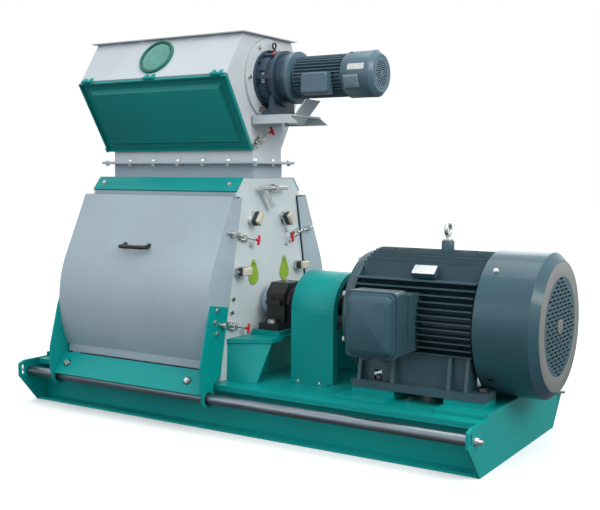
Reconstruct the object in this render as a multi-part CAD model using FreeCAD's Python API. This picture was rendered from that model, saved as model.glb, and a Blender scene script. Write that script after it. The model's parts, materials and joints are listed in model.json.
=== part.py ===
import FreeCAD, Part
import math
import os
from FreeCAD import Vector

# Water-drop hammer mill on a skid, with a rotor feeder on top and a direct-coupled motor.
# Millimetres. +X points from the mill to the motor, +Y to the back, +Z up, z = 0 is the floor.
# Everything is drawn with x = 0 in the middle of the skid. save() moves it by origin_shift,
# which puts the origin under the middle of the whole machine.

# ---------------------------------------------------------------- driving dimensions
skid_half = 1313.0            # half length of the skid, over its end plates
end_plate = 14.0
deck_top = 232.0
deck_thick = 16.0
deck_half = 490.0
web_inset = 68.0              # how far the beam's web stands back from the flange's edge
flange = 12.0
ear_half = 625.0              # half width of an end plate at its ears

rail_y = 556.0                # guide rails: the doors hang and slide on them
rail_z = 174.0
rail_r = 25.0
rail_stud = 35.0              # stud end standing out past the skid

axis_z = 590.0                # rotor and motor centre line
mill_left = -1054.0           # outer faces of the two side plates
mill_right = -80.0
side_plate = 12.0
roof_z = 1239.0
roof_half = 230.0
shoulder_half = 291.0
shoulder_z = 1167.0
joint_top = (261.0, 1140.0)   # line where a door's end wall meets the side plate, y and z
joint_low = (425.0, 341.0)
gap = 1.5                     # running gap between door and body

drum_r = 549.0                # outside of a door's round part
drum_line_deg = 25.4          # the round part runs into the straight flank at this angle
drum_low_deg = -27.0
door_top = 1149.0
door_skin = 6.0
door_proud = 14.0             # a door is wider than the body by this at each end
bar_high = (-514.0, 297.0)    # outer face of the bar between a door's legs, y and z
bar_low = (-599.0, 196.0)
bar_thick = 12.0
handle_mid = -589.0           # bow handle on the door's flank
handle_z = 886.0
handle_span = 160.0

neck_half = 132.0
neck_left = -1046.0
neck_right = -88.0
joint_flange_z = 1321.0       # bolted joint between mill and feeder
joint_flange_out = 50.0

feeder_left = -1076.0
feeder_right = -93.0
feeder_neck_z = 1394.0
feeder_waist = (358.0, 1758.0)
feeder_top = (217.0, 1975.0)
sheet = 5.0
feed_z = 1752.0               # axis of the feed roll and its gear motor
window_r = 105.0              # sight glass: outside of its ring, and its pane
pane_r = 90.0
window_x = -598.0             # round sight glass in the upper front slope
cover_down = 428.0            # length of the hinged cover down the lower front slope
guide_y = -12.0               # axis of the inlet's guide flap
guide_z = 1190.0

reducer_face = feeder_right + 13.0
reducer_end = 90.0
eye_out = 30.0                # lifting eye from the reducer's mounting face
gear_frame_left = 112.0       # the gear motor's finned frame, then its fan cowl
gear_frame_right = 400.0
gear_cowl_right = 577.0

hammer_pin_circle = 205.0
hammer_pin_r = 12.0
hammer_reach = 125.0          # pin centre to hammer tip
pin_offset = hammer_pin_circle * math.sin(math.radians(45))
disc_r = 250.0
disc_first = -1010.0
disc_pitch = 110.0
disc_count = 9

screen_r = 345.0
stand_half = 378.0            # half width of a stand's top plate beside the mill
stand_far_half = 262.0        # and at its outer end
stand_reach = 196.0
stand_top = 440.0
stand_plate = 22.0
housing_foot = 466.0
housing_foot_thick = 34.0
bearing_mid = (32.0, -1166.0)  # x of the middle of each bearing housing
shaft_r = 45.0
core_r = 60.0

guard_left = 186.0
guard_right = 430.0
guard_half = 195.0
guard_top = 771.0
coupling_r = 130.0

motor_foot_z = 275.0          # underside of the motor's feet
motor_foot_thick = 37.0
motor_foot_half = 317.5
motor_bolt_x = (720.0, 1228.0)
motor_bolt_y = 254.0
motor_frame_left = 560.0
motor_frame_right = 1190.0
motor_barrel = 262.0
motor_fin_tip = 322.0
cowl_left = 1198.0
cowl_right = 1482.0
cowl_r = 330.0

clamp_heights = (952.0, 508.0)
clamp_base_long = 92.0
clamp_tilt = 11.6             # a draw rod stands square to the slanting seam

origin_shift = -(cowl_right - skid_half - rail_stud) / 2.0


# ---------------------------------------------------------------- small tools
def save(name, *shapes):
    """Write one node: its solids stay separate inside one STEP file."""
    solids = []
    for shape in shapes:
        solids += shape.Solids
    node = Part.makeCompound(solids)
    node.translate(Vector(origin_shift, 0, 0))
    node.exportStep("parts/" + name + ".step")


def box(x0, x1, y0, y1, z0, z1):
    return Part.makeBox(x1 - x0, y1 - y0, z1 - z0, Vector(x0, y0, z0))


def rod(start, direction, radius, length):
    return Part.makeCylinder(radius, length, Vector(*start), Vector(*direction))


def rod_x(x0, x1, y, z, radius):
    return rod((x0, y, z), (1, 0, 0), radius, x1 - x0)


def tube_x(x0, x1, y, z, outer, inner):
    return rod_x(x0, x1, y, z, outer).cut(rod_x(x0, x1, y, z, inner))


def plate_x(outline, x0, x1):
    """A plate across the machine: outline in y and z, thickness from x0 to x1."""
    points = [Vector(x0, y, z) for y, z in outline]
    return Part.Face(Part.makePolygon(points + points[:1])).extrude(Vector(x1 - x0, 0, 0))


def plate_y(outline, y0, y1):
    """A plate along the machine: outline in x and z, thickness from y0 to y1."""
    points = [Vector(x, y0, z) for x, z in outline]
    return Part.Face(Part.makePolygon(points + points[:1])).extrude(Vector(0, y1 - y0, 0))


def turned_x(profile, z, y=0.0):
    """A turned solid about a line along x: profile holds x and radius pairs."""
    points = [Vector(x, y, z + radius) for x, radius in profile]
    face = Part.Face(Part.makePolygon(points + points[:1]))
    return face.revolve(Vector(0, y, z), Vector(1, 0, 0), 360)


def mirrored(shape):
    """The same shape on the other side of the machine's middle plane."""
    return shape.mirror(Vector(0, 0, 0), Vector(0, 1, 0))


def both_sides(shape):
    return [shape, mirrored(shape)]


def turned_about_x(shape, y, z, degrees):
    copy = shape.copy()
    copy.rotate(Vector(0, y, z), Vector(1, 0, 0), degrees)
    return copy


def joined(shapes):
    whole = shapes[0].multiFuse(shapes[1:]) if len(shapes) > 1 else shapes[0]
    return whole.removeSplitter()


def hexagon(start, direction, across, height):
    """A hexagonal prism, as on a bolt's head or a nut."""
    radius = across / math.sqrt(3)
    turns = [k * math.pi / 3 for k in range(7)]
    corners = [Vector(radius * math.cos(a), radius * math.sin(a), 0) for a in turns]
    prism = Part.Face(Part.makePolygon(corners)).extrude(Vector(0, 0, height))
    prism.Placement = FreeCAD.Placement(
        Vector(*start), FreeCAD.Rotation(Vector(0, 0, 1), Vector(*direction)))
    return prism


def bolt(seat, outward, size, shank, tail=0.0):
    """A hex bolt with its washer. seat is on the surface, outward points to the head.
    With a tail length, a nut stands at the far end of the clamped stack."""
    back = tuple(-v for v in outward)
    washer_t = 0.15 * size

    def along(distance):
        return tuple(p + v * distance for p, v in zip(seat, outward))

    pieces = [rod(seat, outward, size, washer_t),
              hexagon(along(washer_t), outward, 1.6 * size, 0.65 * size),
              rod(seat, back, size / 2.0, shank)]
    if tail:
        pieces.append(hexagon(along(-tail), back, 1.6 * size, 0.8 * size))
    return joined(pieces)


def drilled(shape, places, direction, radius, depth):
    """Cut the same round hole at several places."""
    holes = []
    for place in places:
        start = tuple(p - v * depth for p, v in zip(place, direction))
        holes.append(rod(start, direction, radius, 2 * depth))
    return shape.cut(Part.makeCompound(holes)) if holes else shape


def cut_apart(shape, spaces):
    """Divide a welded shape into the sheets it is made from. The spaces cover it all."""
    sheets = []
    for space in spaces[:-1]:
        sheets += shape.common(space).Solids
        shape = shape.cut(space)
    return sheets + shape.common(spaces[-1]).Solids


def rounded_box(x0, x1, y0, y1, z0, z1, radius, axis):
    """A box whose edges along one axis are rounded."""
    solid = box(x0, x1, y0, y1, z0, z1)
    picked = []
    for edge in solid.Edges:
        run = edge.Vertexes[1].Point - edge.Vertexes[0].Point
        if abs(run[axis]) > 0.99 * run.Length:
            picked.append(edge)
    return solid.makeFillet(radius, picked)


# ---------------------------------------------------------------- skid
def end_plate_solid(x0, x1):
    outline = [(494, 0), (ear_half, 153), (ear_half, 223), (588, 236), (419, 236), (419, 256)]
    outline = outline + [(-y, z) for y, z in reversed(outline)]
    plate = plate_x(outline, x0, x1)
    for side in (-1, 1):
        plate = plate.cut(rod_x(x0, x1, side * rail_y, rail_z, 10.3))
        slot = box(x0, x1, -10, 10, -18, 18).fuse([rod_x(x0, x1, 0, 18, 10), rod_x(x0, x1, 0, -18, 10)])
        slot.translate(Vector(0, side * 599, 186))
        plate = plate.cut(slot)
    return plate


def discharge_opening(margin, z0, z1):
    return box(mill_left + 64 - margin, mill_right - 65 + margin, -240 - margin, 240 + margin, z0, z1)


def make_skid():
    inner = skid_half - end_plate
    save("base_end_plates", end_plate_solid(inner, skid_half), end_plate_solid(-skid_half, -inner))
    deck = box(-inner, inner, -deck_half, deck_half, deck_top - deck_thick, deck_top)
    deck = deck.cut(discharge_opening(0, 0, deck_top))
    for place in motor_bolt_places():
        deck = drilled(deck, [place], (0, 0, 1), 12.5, 120)
    save("base_deck", deck, *motor_pads())
    top = deck_top - deck_thick
    web = deck_half - web_inset
    members = both_sides(box(-inner, inner, web - 10, web, 0, top))
    members += both_sides(box(-inner, inner, web, deck_half, 0, flange))
    members += both_sides(box(-inner, inner, web, deck_half, top - flange, top))
    for x in (-1180, -1030, -110, 240, 690, 1140):
        members.append(box(x - 6, x + 6, -(web - 10), web - 10, 0, top))
    save("base_beams", *members)


def make_rails():
    inner = skid_half - end_plate
    rail = rod_x(-inner, inner, rail_y, rail_z, rail_r)
    rail = rail.cut(rod_x(-inner, -inner + 80, rail_y, rail_z, 10.3))
    rail = rail.cut(rod_x(inner - 80, inner, rail_y, rail_z, 10.3))
    save("guide_rails", *both_sides(rail))
    studs = []
    for side in (-1, 1):
        for end in (-1, 1):
            outward = (end, 0, 0)
            seat = (end * skid_half, side * rail_y, rail_z)
            nut = (end * (skid_half + 4), side * rail_y, rail_z)
            studs.append(joined([
                rod(seat, outward, 19, 4), hexagon(nut, outward, 30, 13),
                rod((end * (inner - 78), side * rail_y, rail_z), outward, 10,
                    end_plate + 78 + rail_stud)]))
    return studs


# ---------------------------------------------------------------- mill body
def joint_line(z):
    """Half width of the side plate where a door's end wall meets it."""
    share = (joint_top[1] - z) / (joint_top[1] - joint_low[1])
    return joint_top[0] + share * (joint_low[0] - joint_top[0])


def side_plate_solid(x0, x1):
    half = [(roof_half, roof_z), (shoulder_half, shoulder_z), (shoulder_half, 1146),
            (joint_line(1146), 1146), joint_low, (joint_low[0], deck_top)]
    outline = half + [(-y, z) for y, z in reversed(half)]
    plate = plate_x(outline, x0, x1)
    return plate.cut(rod_x(x0, x1, 0, axis_z, core_r + 4))


def make_side_plates():
    left = side_plate_solid(mill_left, mill_left + side_plate)
    right_in = mill_right - side_plate
    right = side_plate_solid(right_in, mill_right)
    right = right.cut(rod_x(right_in, mill_right, guide_y, guide_z, 11.3))
    left = left.cut(rod_x(mill_left, mill_left + side_plate, guide_y, guide_z, 11.3))
    for side in (-1, 1):
        right = right.cut(rod_x(right_in, mill_right, side * pin_offset, axis_z + pin_offset, 30))
    right = drilled(right, plate_bolt_places(), (1, 0, 0), 6.3, side_plate)
    save("left_side_plate", left)
    save("right_side_plate", right)
    return [bolt(place, (1, 0, 0), 12, side_plate) for place in plate_bolt_places()]


def plate_bolt_places():
    spots = [(-170, 898), (165, 962), (205, 900), (165, 889)]
    for side in (-1, 1):
        spots += [(side * 322, 634), (side * 335, 567)]
    return [(mill_right, y, z) for y, z in spots]


def make_roof():
    inner_left = mill_left + side_plate
    inner_right = mill_right - side_plate
    panel = plate_x([(126, roof_z), (roof_half, roof_z),
                     (shoulder_half, shoulder_z), (shoulder_half, 1148),
                     (shoulder_half - 8, 1148), (shoulder_half - 8, shoulder_z - 3),
                     (roof_half - 4, roof_z - 8), (126, roof_z - 8)], inner_left, inner_right)
    sill = box(inner_left, inner_right, joint_low[0] - 8, joint_low[0], deck_top, joint_low[1] - 3)
    below_deck = deck_top - deck_thick
    chute = discharge_opening(0, 0, below_deck).cut(discharge_opening(-6, 0, below_deck))
    save("body_panels", *(both_sides(panel) + both_sides(sill) + [chute]))
    neck = box(neck_left, neck_right, -neck_half, neck_half, roof_z, joint_flange_z)
    out = joint_flange_out
    collar = box(neck_left - out, neck_right + out, -neck_half - out, neck_half + out,
                 joint_flange_z - 7, joint_flange_z)
    hollow = box(neck_left + 6, neck_right - 6, -neck_half + 6, neck_half - 6, roof_z, joint_flange_z)
    hood = drilled(joined([neck, collar]).cut(hollow), flange_bolt_places(), (0, 0, 1), 6.3, 20)
    save("inlet_hood", hood)


def flange_bolt_places():
    edge = neck_half + joint_flange_out - 22
    left = neck_left - joint_flange_out + 22
    right = neck_right + joint_flange_out - 22
    along = [left + (right - left) * k / 6.0 for k in range(7)]
    places = [(x, side * edge, joint_flange_z) for side in (-1, 1) for x in along]
    return places + [(x, 0, joint_flange_z) for x in (left, right)]


def make_shoulder_bars():
    run = Vector(0, shoulder_half - roof_half, shoulder_z - roof_z)
    run.normalize()
    out = Vector(0, -run.z, run.y)
    start = Vector(0, roof_half, roof_z) + run * 2
    corners = [start, start + run * 90, start + run * 90 + out * 10, start + out * 10]
    bar = plate_x([(c.y, c.z) for c in corners], mill_left, mill_right)
    middle = start + run * 45 + out * 10
    places = [(x, middle.y, middle.z) for x in (mill_left + 60, mill_right - 60)]
    outward = (0, out.y, out.z)
    bar = drilled(bar, places, outward, 6.3, 10)
    save("shoulder_bars", *both_sides(bar))
    bolts = [bolt(place, outward, 12, 9.5) for place in places]
    return bolts + [mirrored(b) for b in bolts]


def screen_solid(start_deg, end_deg):
    """A curved sieve, front one: a round band that runs up into a straight flank."""
    a0 = math.radians(start_deg)
    a1 = math.radians(end_deg)
    mid = (a0 + a1) / 2.0

    def at(radius, angle):
        return Vector(0, -radius * math.cos(angle), axis_z + radius * math.sin(angle))

    tangent = Vector(0, math.sin(a1), math.cos(a1))
    flank = 330.0
    outer_end = at(screen_r, a1) + tangent * flank
    inner_end = at(screen_r - 4, a1) + tangent * flank
    edges = [Part.Arc(at(screen_r, a0), at(screen_r, mid), at(screen_r, a1)).toShape(),
             Part.makeLine(at(screen_r, a1), outer_end), Part.makeLine(outer_end, inner_end),
             Part.makeLine(inner_end, at(screen_r - 4, a1)),
             Part.Arc(at(screen_r - 4, a1), at(screen_r - 4, mid), at(screen_r - 4, a0)).toShape(),
             Part.makeLine(at(screen_r - 4, a0), at(screen_r, a0))]
    face = Part.Face(Part.Wire(edges))
    band = face.extrude(Vector(mill_right - mill_left - 2 * side_plate - 2, 0, 0))
    band.translate(Vector(mill_left + side_plate + 1, 0, 0))
    return band


def make_screens():
    front = screen_solid(-72, drum_line_deg)
    left = mill_left + side_plate + 1
    right = mill_right - side_plate - 1
    teeth = [(-90, axis_z - 352), (90, axis_z - 352), (90, axis_z - 340)]
    for k in range(6):
        y = 90 - 30 * k
        teeth += [(y - 15, axis_z - 352 + 4), (y - 30, axis_z - 340)]
    plate = plate_x(teeth, left, right)
    save("screens_and_tooth_plate", plate, *both_sides(front))


# ---------------------------------------------------------------- bearing stands and bearings
def stand_plates(near, way):
    """Plates of the stand beside a side plate at x = near, standing out from it towards way."""
    def outline(half_near, half_far, reach, thick):
        far = near + way * reach
        return [(near, -half_near), (far, -half_far), (far, -half_far + thick), (near, -half_near + thick)]

    def wire(corners, z):
        points = [Vector(x, y, z) for x, y in corners]
        return Part.makePolygon(points + points[:1])

    under = stand_top - stand_plate
    far = near + way * stand_reach
    edge = [(near, -stand_half), (far, -stand_far_half), (far, stand_far_half), (near, stand_half)]
    top = Part.Face(wire(edge, under)).extrude(Vector(0, 0, stand_plate))
    low = outline(stand_half, stand_half - 8, stand_reach - 19, 12)
    high = outline(stand_half - 8, stand_far_half - 4, stand_reach - 6, 12)
    front = Part.makeLoft([wire(low, deck_top), wire(high, under)], True, True)
    web_a, web_b = sorted((near + way * 60, near + way * 72))
    web = box(web_a, web_b, -310, 310, deck_top, under)
    plinth_a, plinth_b = sorted((near + way * 20, near + way * 184))
    plinth = box(plinth_a, plinth_b, -182, 182, stand_top, housing_foot)
    return [top, front, mirrored(front), web, plinth]


def housing_bolt_places(middle):
    return [(middle, side * 138, housing_foot + housing_foot_thick) for side in (-1, 1)]


def make_bearings():
    stands = []
    feet = []
    caps = []
    rings = []
    foot_bolts = []
    foot_half = 60
    boss_half = 67
    ledge = housing_foot + housing_foot_thick
    stack = housing_foot_thick + housing_foot - stand_top + stand_plate
    for middle, near, way in ((bearing_mid[0], mill_right, 1), (bearing_mid[1], mill_left, -1)):
        places = housing_bolt_places(middle)
        stands += [drilled(plate, places, (0, 0, 1), 12.5, stack + 6) for plate in stand_plates(near, way)]
        bore = joined([rod_x(middle - boss_half, middle + boss_half, 0, axis_z, 47),
                       rod_x(middle - 36, middle + 36, 0, axis_z, 90)])
        foot = joined([box(middle - foot_half, middle + foot_half, -172, 172, housing_foot, ledge),
                       box(middle - 54, middle + 54, -104, 104, ledge, axis_z - 0.5),
                       box(middle - 66, middle + 66, -70, 70, ledge, axis_z - 0.5)])
        foot = drilled(foot.cut(bore), places, (0, 0, 1), 12.5, 60)
        feet.append(foot)
        crown = [(-108, 0), (-108, 60), (-62, 112), (62, 112), (108, 60), (108, 0)]
        cap = joined([plate_x([(y, axis_z + up) for y, up in crown], middle - 54, middle + 54),
                      rod_x(middle - 66, middle + 66, 0, axis_z, 82),
                      box(middle - 44, middle + 44, -132, 132, axis_z, axis_z + 26)])
        upper = box(middle - 90, middle + 90, -200, 200, axis_z, axis_z + 200)
        caps.append(cap.common(upper).cut(bore))
        rings.append(tube_x(middle - 35, middle + 35, 0, axis_z, 89.5, shaft_r + 0.3))
        for start, end, radius in ((-boss_half, -108, 72), (-108, -111, 77), (boss_half, 79, 78)):
            a, b = sorted((middle + way * start, middle + way * end))
            rings.append(tube_x(a, b, 0, axis_z, radius, shaft_r + 0.3))
        foot_bolts += [bolt(place, (0, 0, 1), 24, stack, stack) for place in places]
    save("bearing_stands", *stands)
    save("bearing_housing_feet", *feet)
    save("bearing_housing_caps", *caps)
    save("bearings", *(rings + motor_bearings()))
    return foot_bolts


# ---------------------------------------------------------------- mill rotor
def pin_centres():
    places = []
    for k in range(4):
        angle = math.radians(45 + 90 * k)
        places.append((hammer_pin_circle * math.cos(angle), axis_z + hammer_pin_circle * math.sin(angle)))
    return places


def hammer_stations():
    """x of every hammer on one pin: two hammers between each pair of discs."""
    return [disc_first + disc_pitch * (gap_index + share)
            for gap_index in range(disc_count - 1) for share in (0.36, 0.68)]


def make_rotor():
    last = disc_first + disc_pitch * (disc_count - 1)
    save("mill_shaft", joined([rod_x(-1252, 160, 0, axis_z, shaft_r),
                               rod_x(mill_left + 2, mill_right - 2, 0, axis_z, core_r),
                               rod_x(160, 282, 0, axis_z, 40)]))
    discs = []
    for k in range(disc_count):
        x = disc_first + disc_pitch * k
        disc = tube_x(x - 4, x + 4, 0, axis_z, disc_r, core_r)
        for y, z in pin_centres():
            disc = disc.cut(rod_x(x - 4, x + 4, y, z, hammer_pin_r))
        discs.append(disc)
    for y, z in pin_centres():
        discs.append(rod_x(disc_first - 14, last + 14, y, z, hammer_pin_r))
    save("rotor_discs_and_pins", *discs)
    stations = hammer_stations()
    for row, (y, z) in enumerate(pin_centres()):
        hammers = []
        for x in stations:
            blade = box(x - 3, x + 3, -25, 25, -25, hammer_reach)
            blade = blade.cut(rod_x(x - 3, x + 3, 0, 0, hammer_pin_r + 0.6))
            blade = turned_about_x(blade, 0, 0, 45 + 90 * row - 90)
            blade.translate(Vector(0, y, z))
            hammers.append(blade)
        save("hammers_row_" + str(row + 1), *hammers)
    half = joined([tube_x(205, 283, 0, axis_z, 75, 40), tube_x(225, 283, 0, axis_z, coupling_r, 40)])
    pins = []
    for k in range(8):
        angle = 2 * math.pi * k / 8
        y = 100 * math.cos(angle)
        z = axis_z + 100 * math.sin(angle)
        half = half.cut(rod_x(225, 283, y, z, 9))
        pins.append(joined([rod_x(218, 283, y, z, 9), rod_x(283, 323, y, z, 13.6)]))
    save("mill_coupling_half", half, *pins)


def make_coupling_guard():
    spring = guard_top - guard_half
    straight = box(guard_left, guard_right, -guard_half, guard_half, deck_top, spring)
    outside = joined([straight, rod_x(guard_left, guard_right, 0, spring, guard_half)])
    skin = 4
    left_in = guard_left + skin
    right_in = guard_right - skin
    inside = joined([box(left_in, right_in, -guard_half + skin, guard_half - skin, deck_top, spring),
                     rod_x(left_in, right_in, 0, spring, guard_half - skin)])
    throat = guard_half - 42
    mouth = joined([box(guard_left, guard_right, -throat, throat, deck_top, axis_z),
                    rod_x(guard_left, guard_right, 0, axis_z, throat)])
    feet = []
    for side in (-1, 1):
        y0, y1 = sorted((side * guard_half, side * (guard_half + 40)))
        feet.append(box(guard_left + 10, guard_right - 10, y0, y1, deck_top, deck_top + 5))
    guard = joined([outside.cut(inside).cut(mouth)] + feet)
    places = [(x, side * (guard_half + 22), deck_top + 5)
              for side in (-1, 1) for x in (guard_left + 60, guard_right - 60)]
    save("coupling_guard", drilled(guard, places, (0, 0, 1), 5.3, 5))
    return [bolt(place, (0, 0, 1), 10, 4.5) for place in places]


# ---------------------------------------------------------------- main motor
def motor_bolt_places():
    top = motor_foot_z + motor_foot_thick
    return [(x, side * motor_bolt_y, top) for x in motor_bolt_x for side in (-1, 1)]


def motor_pads():
    pads = []
    for x0, x1, wide0, wide1 in ((600, 819, 565, 819), (1064, 1262, 1064, 1299)):
        pad = box(wide0, wide1, -419, 419, deck_top, deck_top + 18)
        pad = joined([pad] + both_sides(box(x0, x1, 190, 312, deck_top + 18, motor_foot_z)))
        pads.append(drilled(pad, motor_bolt_places(), (0, 0, 1), 12.5, 90))
    return pads


def motor_foot_bolts():
    stack = motor_foot_thick + motor_foot_z - deck_top + deck_thick
    return [bolt(place, (0, 0, 1), 24, stack, stack) for place in motor_bolt_places()]


def fin_tip(offset):
    """How far a fin reaches at this distance from the motor's middle plane."""
    return math.sqrt(max(motor_fin_tip ** 2 - offset ** 2, 0.0)) + 12.0


def motor_foot(fins_low):
    """One cast foot with its ribs, under the front half of the motor."""
    foot_top = motor_foot_z + motor_foot_thick
    pieces = [box(600, 1262, 190, motor_foot_half, motor_foot_z, foot_top),
              box(628, 1180, 262, 276, foot_top, fins_low)]
    for x in (640, 812, 1086, 1170):
        pieces.append(plate_x([(200, foot_top), (motor_foot_half, foot_top), (292, fins_low),
                               (200, fins_low)], x - 8, x + 8))
    return joined(pieces)


def make_motor_frame():
    x0 = motor_frame_left
    x1 = motor_frame_right
    fins_low = axis_z - 126
    barrel = [rod_x(x0, x1, 0, axis_z, motor_barrel), tube_x(x0, x0 + 26, 0, axis_z, 300, 200)]
    for k in range(12):
        offset = -126 + 29 * k
        reach = fin_tip(offset)
        barrel.append(box(x0 + 30, x1, -reach, reach, axis_z + offset - 2.5, axis_z + offset + 2.5))
    for k in range(13):
        offset = -180 + 30 * k
        top = axis_z + fin_tip(offset) - 14
        barrel.append(box(x0 + 30, x1, offset - 2.5, offset + 2.5, axis_z + 160, top))
    barrel.append(rod((939, 0, 880), (0, 0, 1), 30, 72))
    barrel = joined(barrel).cut(rod((939, 0, 900), (0, 0, 1), 15.3, 60))
    seat = box(690, 930, -400, -150, 476, 732)
    feet = []
    for foot in both_sides(motor_foot(fins_low)):
        for place in motor_bolt_places():
            foot = foot.cut(rod(place, (0, 0, 1), 29, 46))
        feet.append(drilled(foot, motor_bolt_places(), (0, 0, 1), 12.5, 60).cut(barrel))
    bore = rod_x(x0, x1, 0, axis_z, 240)
    seat = seat.cut(Part.makeCompound([barrel] + feet))
    save("motor_frame", barrel.cut(bore), *(feet + [seat]))
    save("stators", tube_x(x0 + 90, x1 - 120, 0, axis_z, 240, 152),
         tube_x(gear_frame_left + 30, gear_frame_right - 40, 0, feed_z, 75.5, 48))


def make_motor_ends():
    x0 = motor_frame_left
    x1 = motor_frame_right
    drive = turned_x([(x0, 300), (x0, 239), (x0 + 20, 239), (x0 + 20, 120), (x0 - 40, 120),
                      (x0 - 40, 61), (x0 - 108, 61), (x0 - 108, 96), (x0 - 92, 120), (x0 - 60, 128),
                      (x0 - 26, 292), (x0 - 14, 300)], axis_z)
    shield = turned_x([(x1, 300), (x1, 239), (x1 - 20, 239), (x1 - 20, 120), (x1 + 40, 120),
                       (x1 + 40, 61), (x1 + 62, 61), (x1 + 62, 120), (x1 + 22, 200), (x1 + 7, 300)], axis_z)
    save("motor_end_shields", drive, shield)
    bolts = []
    for k in range(8):
        angle = 2 * math.pi * (k + 0.5) / 8
        y = 281 * math.cos(angle)
        z = axis_z + 281 * math.sin(angle)
        bolts.append(joined([rod_x(x0 - 25, x0 - 22, y, z, 15),
                             hexagon((x0 - 25, y, z), (-1, 0, 0), 25, 12)]))
    return [b.cut(drive) for b in bolts]


def motor_bearings():
    starts = (motor_frame_left - 39, motor_frame_right - 10)
    return [tube_x(x, x + 49, 0, axis_z, 119.5, 50.3) for x in starts]


def slot_rows(x0, x1, z_mid, radius, hub, pitch, width, height):
    """Rows of level slots that fill a disc, cut as one compound."""
    slots = []
    rows = int(radius // pitch)
    step = width * 1.35
    for row in range(-rows, rows + 1):
        z = z_mid + row * pitch
        reach = math.sqrt(radius ** 2 - (row * pitch) ** 2)
        shift = 0.5 * width if row % 2 else 0.0
        count = int(reach // step) + 1
        for k in range(-count, count + 1):
            y = k * step + shift
            inside = abs(y) + width / 2 <= reach
            if inside and math.hypot(y, row * pitch) >= hub:
                slots.append(box(x0, x1, y - width / 2, y + width / 2, z - height / 2, z + height / 2))
    return Part.makeCompound(slots)


def cowl_solid(x0, x1, z_mid, radius, skin, edge, face_r):
    """A pressed fan cowl: a drum with a bevelled far edge and a slotted end."""
    def drum(far, wide, bevel):
        return turned_x([(x0, 0), (x0, wide), (far - bevel, wide), (far, wide - bevel), (far, 0)], z_mid)

    shell = drum(x1, radius, edge).cut(drum(x1 - skin, radius - skin, edge - skin / 2.0))
    return shell.cut(tube_x(x1 - 2.0, x1, 0, z_mid, face_r + 4, face_r - 4))


def make_motor_cowl():
    cowl = cowl_solid(cowl_left, cowl_right, axis_z, cowl_r, 4, 36, 240)
    cowl = cowl.cut(slot_rows(cowl_right - 10, cowl_right + 1, axis_z, 218, 30, 18, 42, 8))
    bolts = []
    for k in range(4):
        angle = math.radians(40 + 90 * k)
        place = (cowl_left + 60, cowl_r * math.cos(angle), axis_z + cowl_r * math.sin(angle))
        outward = (0, math.cos(angle), math.sin(angle))
        cowl = drilled(cowl, [place], outward, 6.3, 12)
        bolts.append(bolt(place, outward, 12, 14))
    save("motor_fan_cowl", cowl)
    return bolts


def make_terminal_box():
    case = rounded_box(672, 925, -502, -400, 455, 752, 24, 1)
    hollow = box(690, 907, -502, -406, 473, 734)
    glands = joined([rod((750, -452, 438), (0, 0, 1), 26, 30), rod((840, -452, 438), (0, 0, 1), 26, 30)])
    case = joined([case.cut(hollow), glands])
    lid = rounded_box(680, 917, -545, -502, 463, 744, 30, 1)
    front = [e for e in lid.Edges if abs(e.CenterOfMass.y + 545) < 0.5]
    lid = lid.makeFillet(14, front)
    lid = lid.cut(box(700, 897, -530, -502, 483, 724))
    save("motor_terminal_box", case, lid)


def make_motor_rotor():
    x0 = motor_frame_left
    x1 = motor_frame_right
    shaft = joined([rod_x(289, x0, 0, axis_z, 42), rod_x(x0 - 110, x1 + 40, 0, axis_z, 50),
                    rod_x(x1, x1 + 190, 0, axis_z, 34)])
    core = tube_x(x0 + 92, x1 - 122, 0, axis_z, 150, 50)
    half = joined([tube_x(287, 345, 0, axis_z, coupling_r, 42), tube_x(287, 367, 0, axis_z, 75, 42)])
    for k in range(8):
        angle = 2 * math.pi * k / 8
        half = half.cut(rod_x(287, 345, 100 * math.cos(angle), axis_z + 100 * math.sin(angle), 15))
    save("motor_coupling_half", half)
    hub_left = x1 + 80
    pieces = [tube_x(hub_left, hub_left + 90, 0, axis_z, 60, 34),
              tube_x(hub_left, hub_left + 8, 0, axis_z, 240, 34)]
    blade = box(hub_left + 8, hub_left + 86, -4, 4, 56, 262)
    for k in range(9):
        pieces.append(turned_about_x(blade, 0, 0, 40 * k).translate(Vector(0, 0, axis_z)))
    save("motor_rotor", shaft, core, joined(pieces))


def eye_bolt(x, y, z, stem, ring, wire):
    """A lifting eye: a shouldered stem with an upright ring across the machine."""
    torus = Part.makeTorus(ring, wire, Vector(x, y, z + stem + ring), Vector(1, 0, 0))
    collar = rod((x, y, z), (0, 0, 1), 2.6 * wire, 0.35 * stem)
    neck = rod((x, y, z), (0, 0, 1), 1.35 * wire, stem + wire)
    thread = rod((x, y, z - 3.4 * wire), (0, 0, 1), 1.35 * wire, 3.4 * wire)
    return joined([torus, collar, neck, thread])


# ---------------------------------------------------------------- feeder
def slope_frame():
    """Unit vectors of the feeder's lower front slope: down along it, and outward."""
    down = Vector(0, feeder_waist[0] - neck_half, feeder_neck_z - feeder_waist[1])
    down.normalize()
    return down, Vector(0, down.z, -down.y)


def slope_plate(x0, x1, down0, down1, out0, out1):
    """A flat piece on the lower front slope, measured from the waist edge."""
    down, out = slope_frame()
    start = Vector(0, -feeder_waist[0], feeder_waist[1])
    corners = [start + down * down0 + out * out0, start + down * down1 + out * out0,
               start + down * down1 + out * out1, start + down * down0 + out * out1]
    return plate_x([(c.y, c.z) for c in corners], x0, x1)


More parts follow.
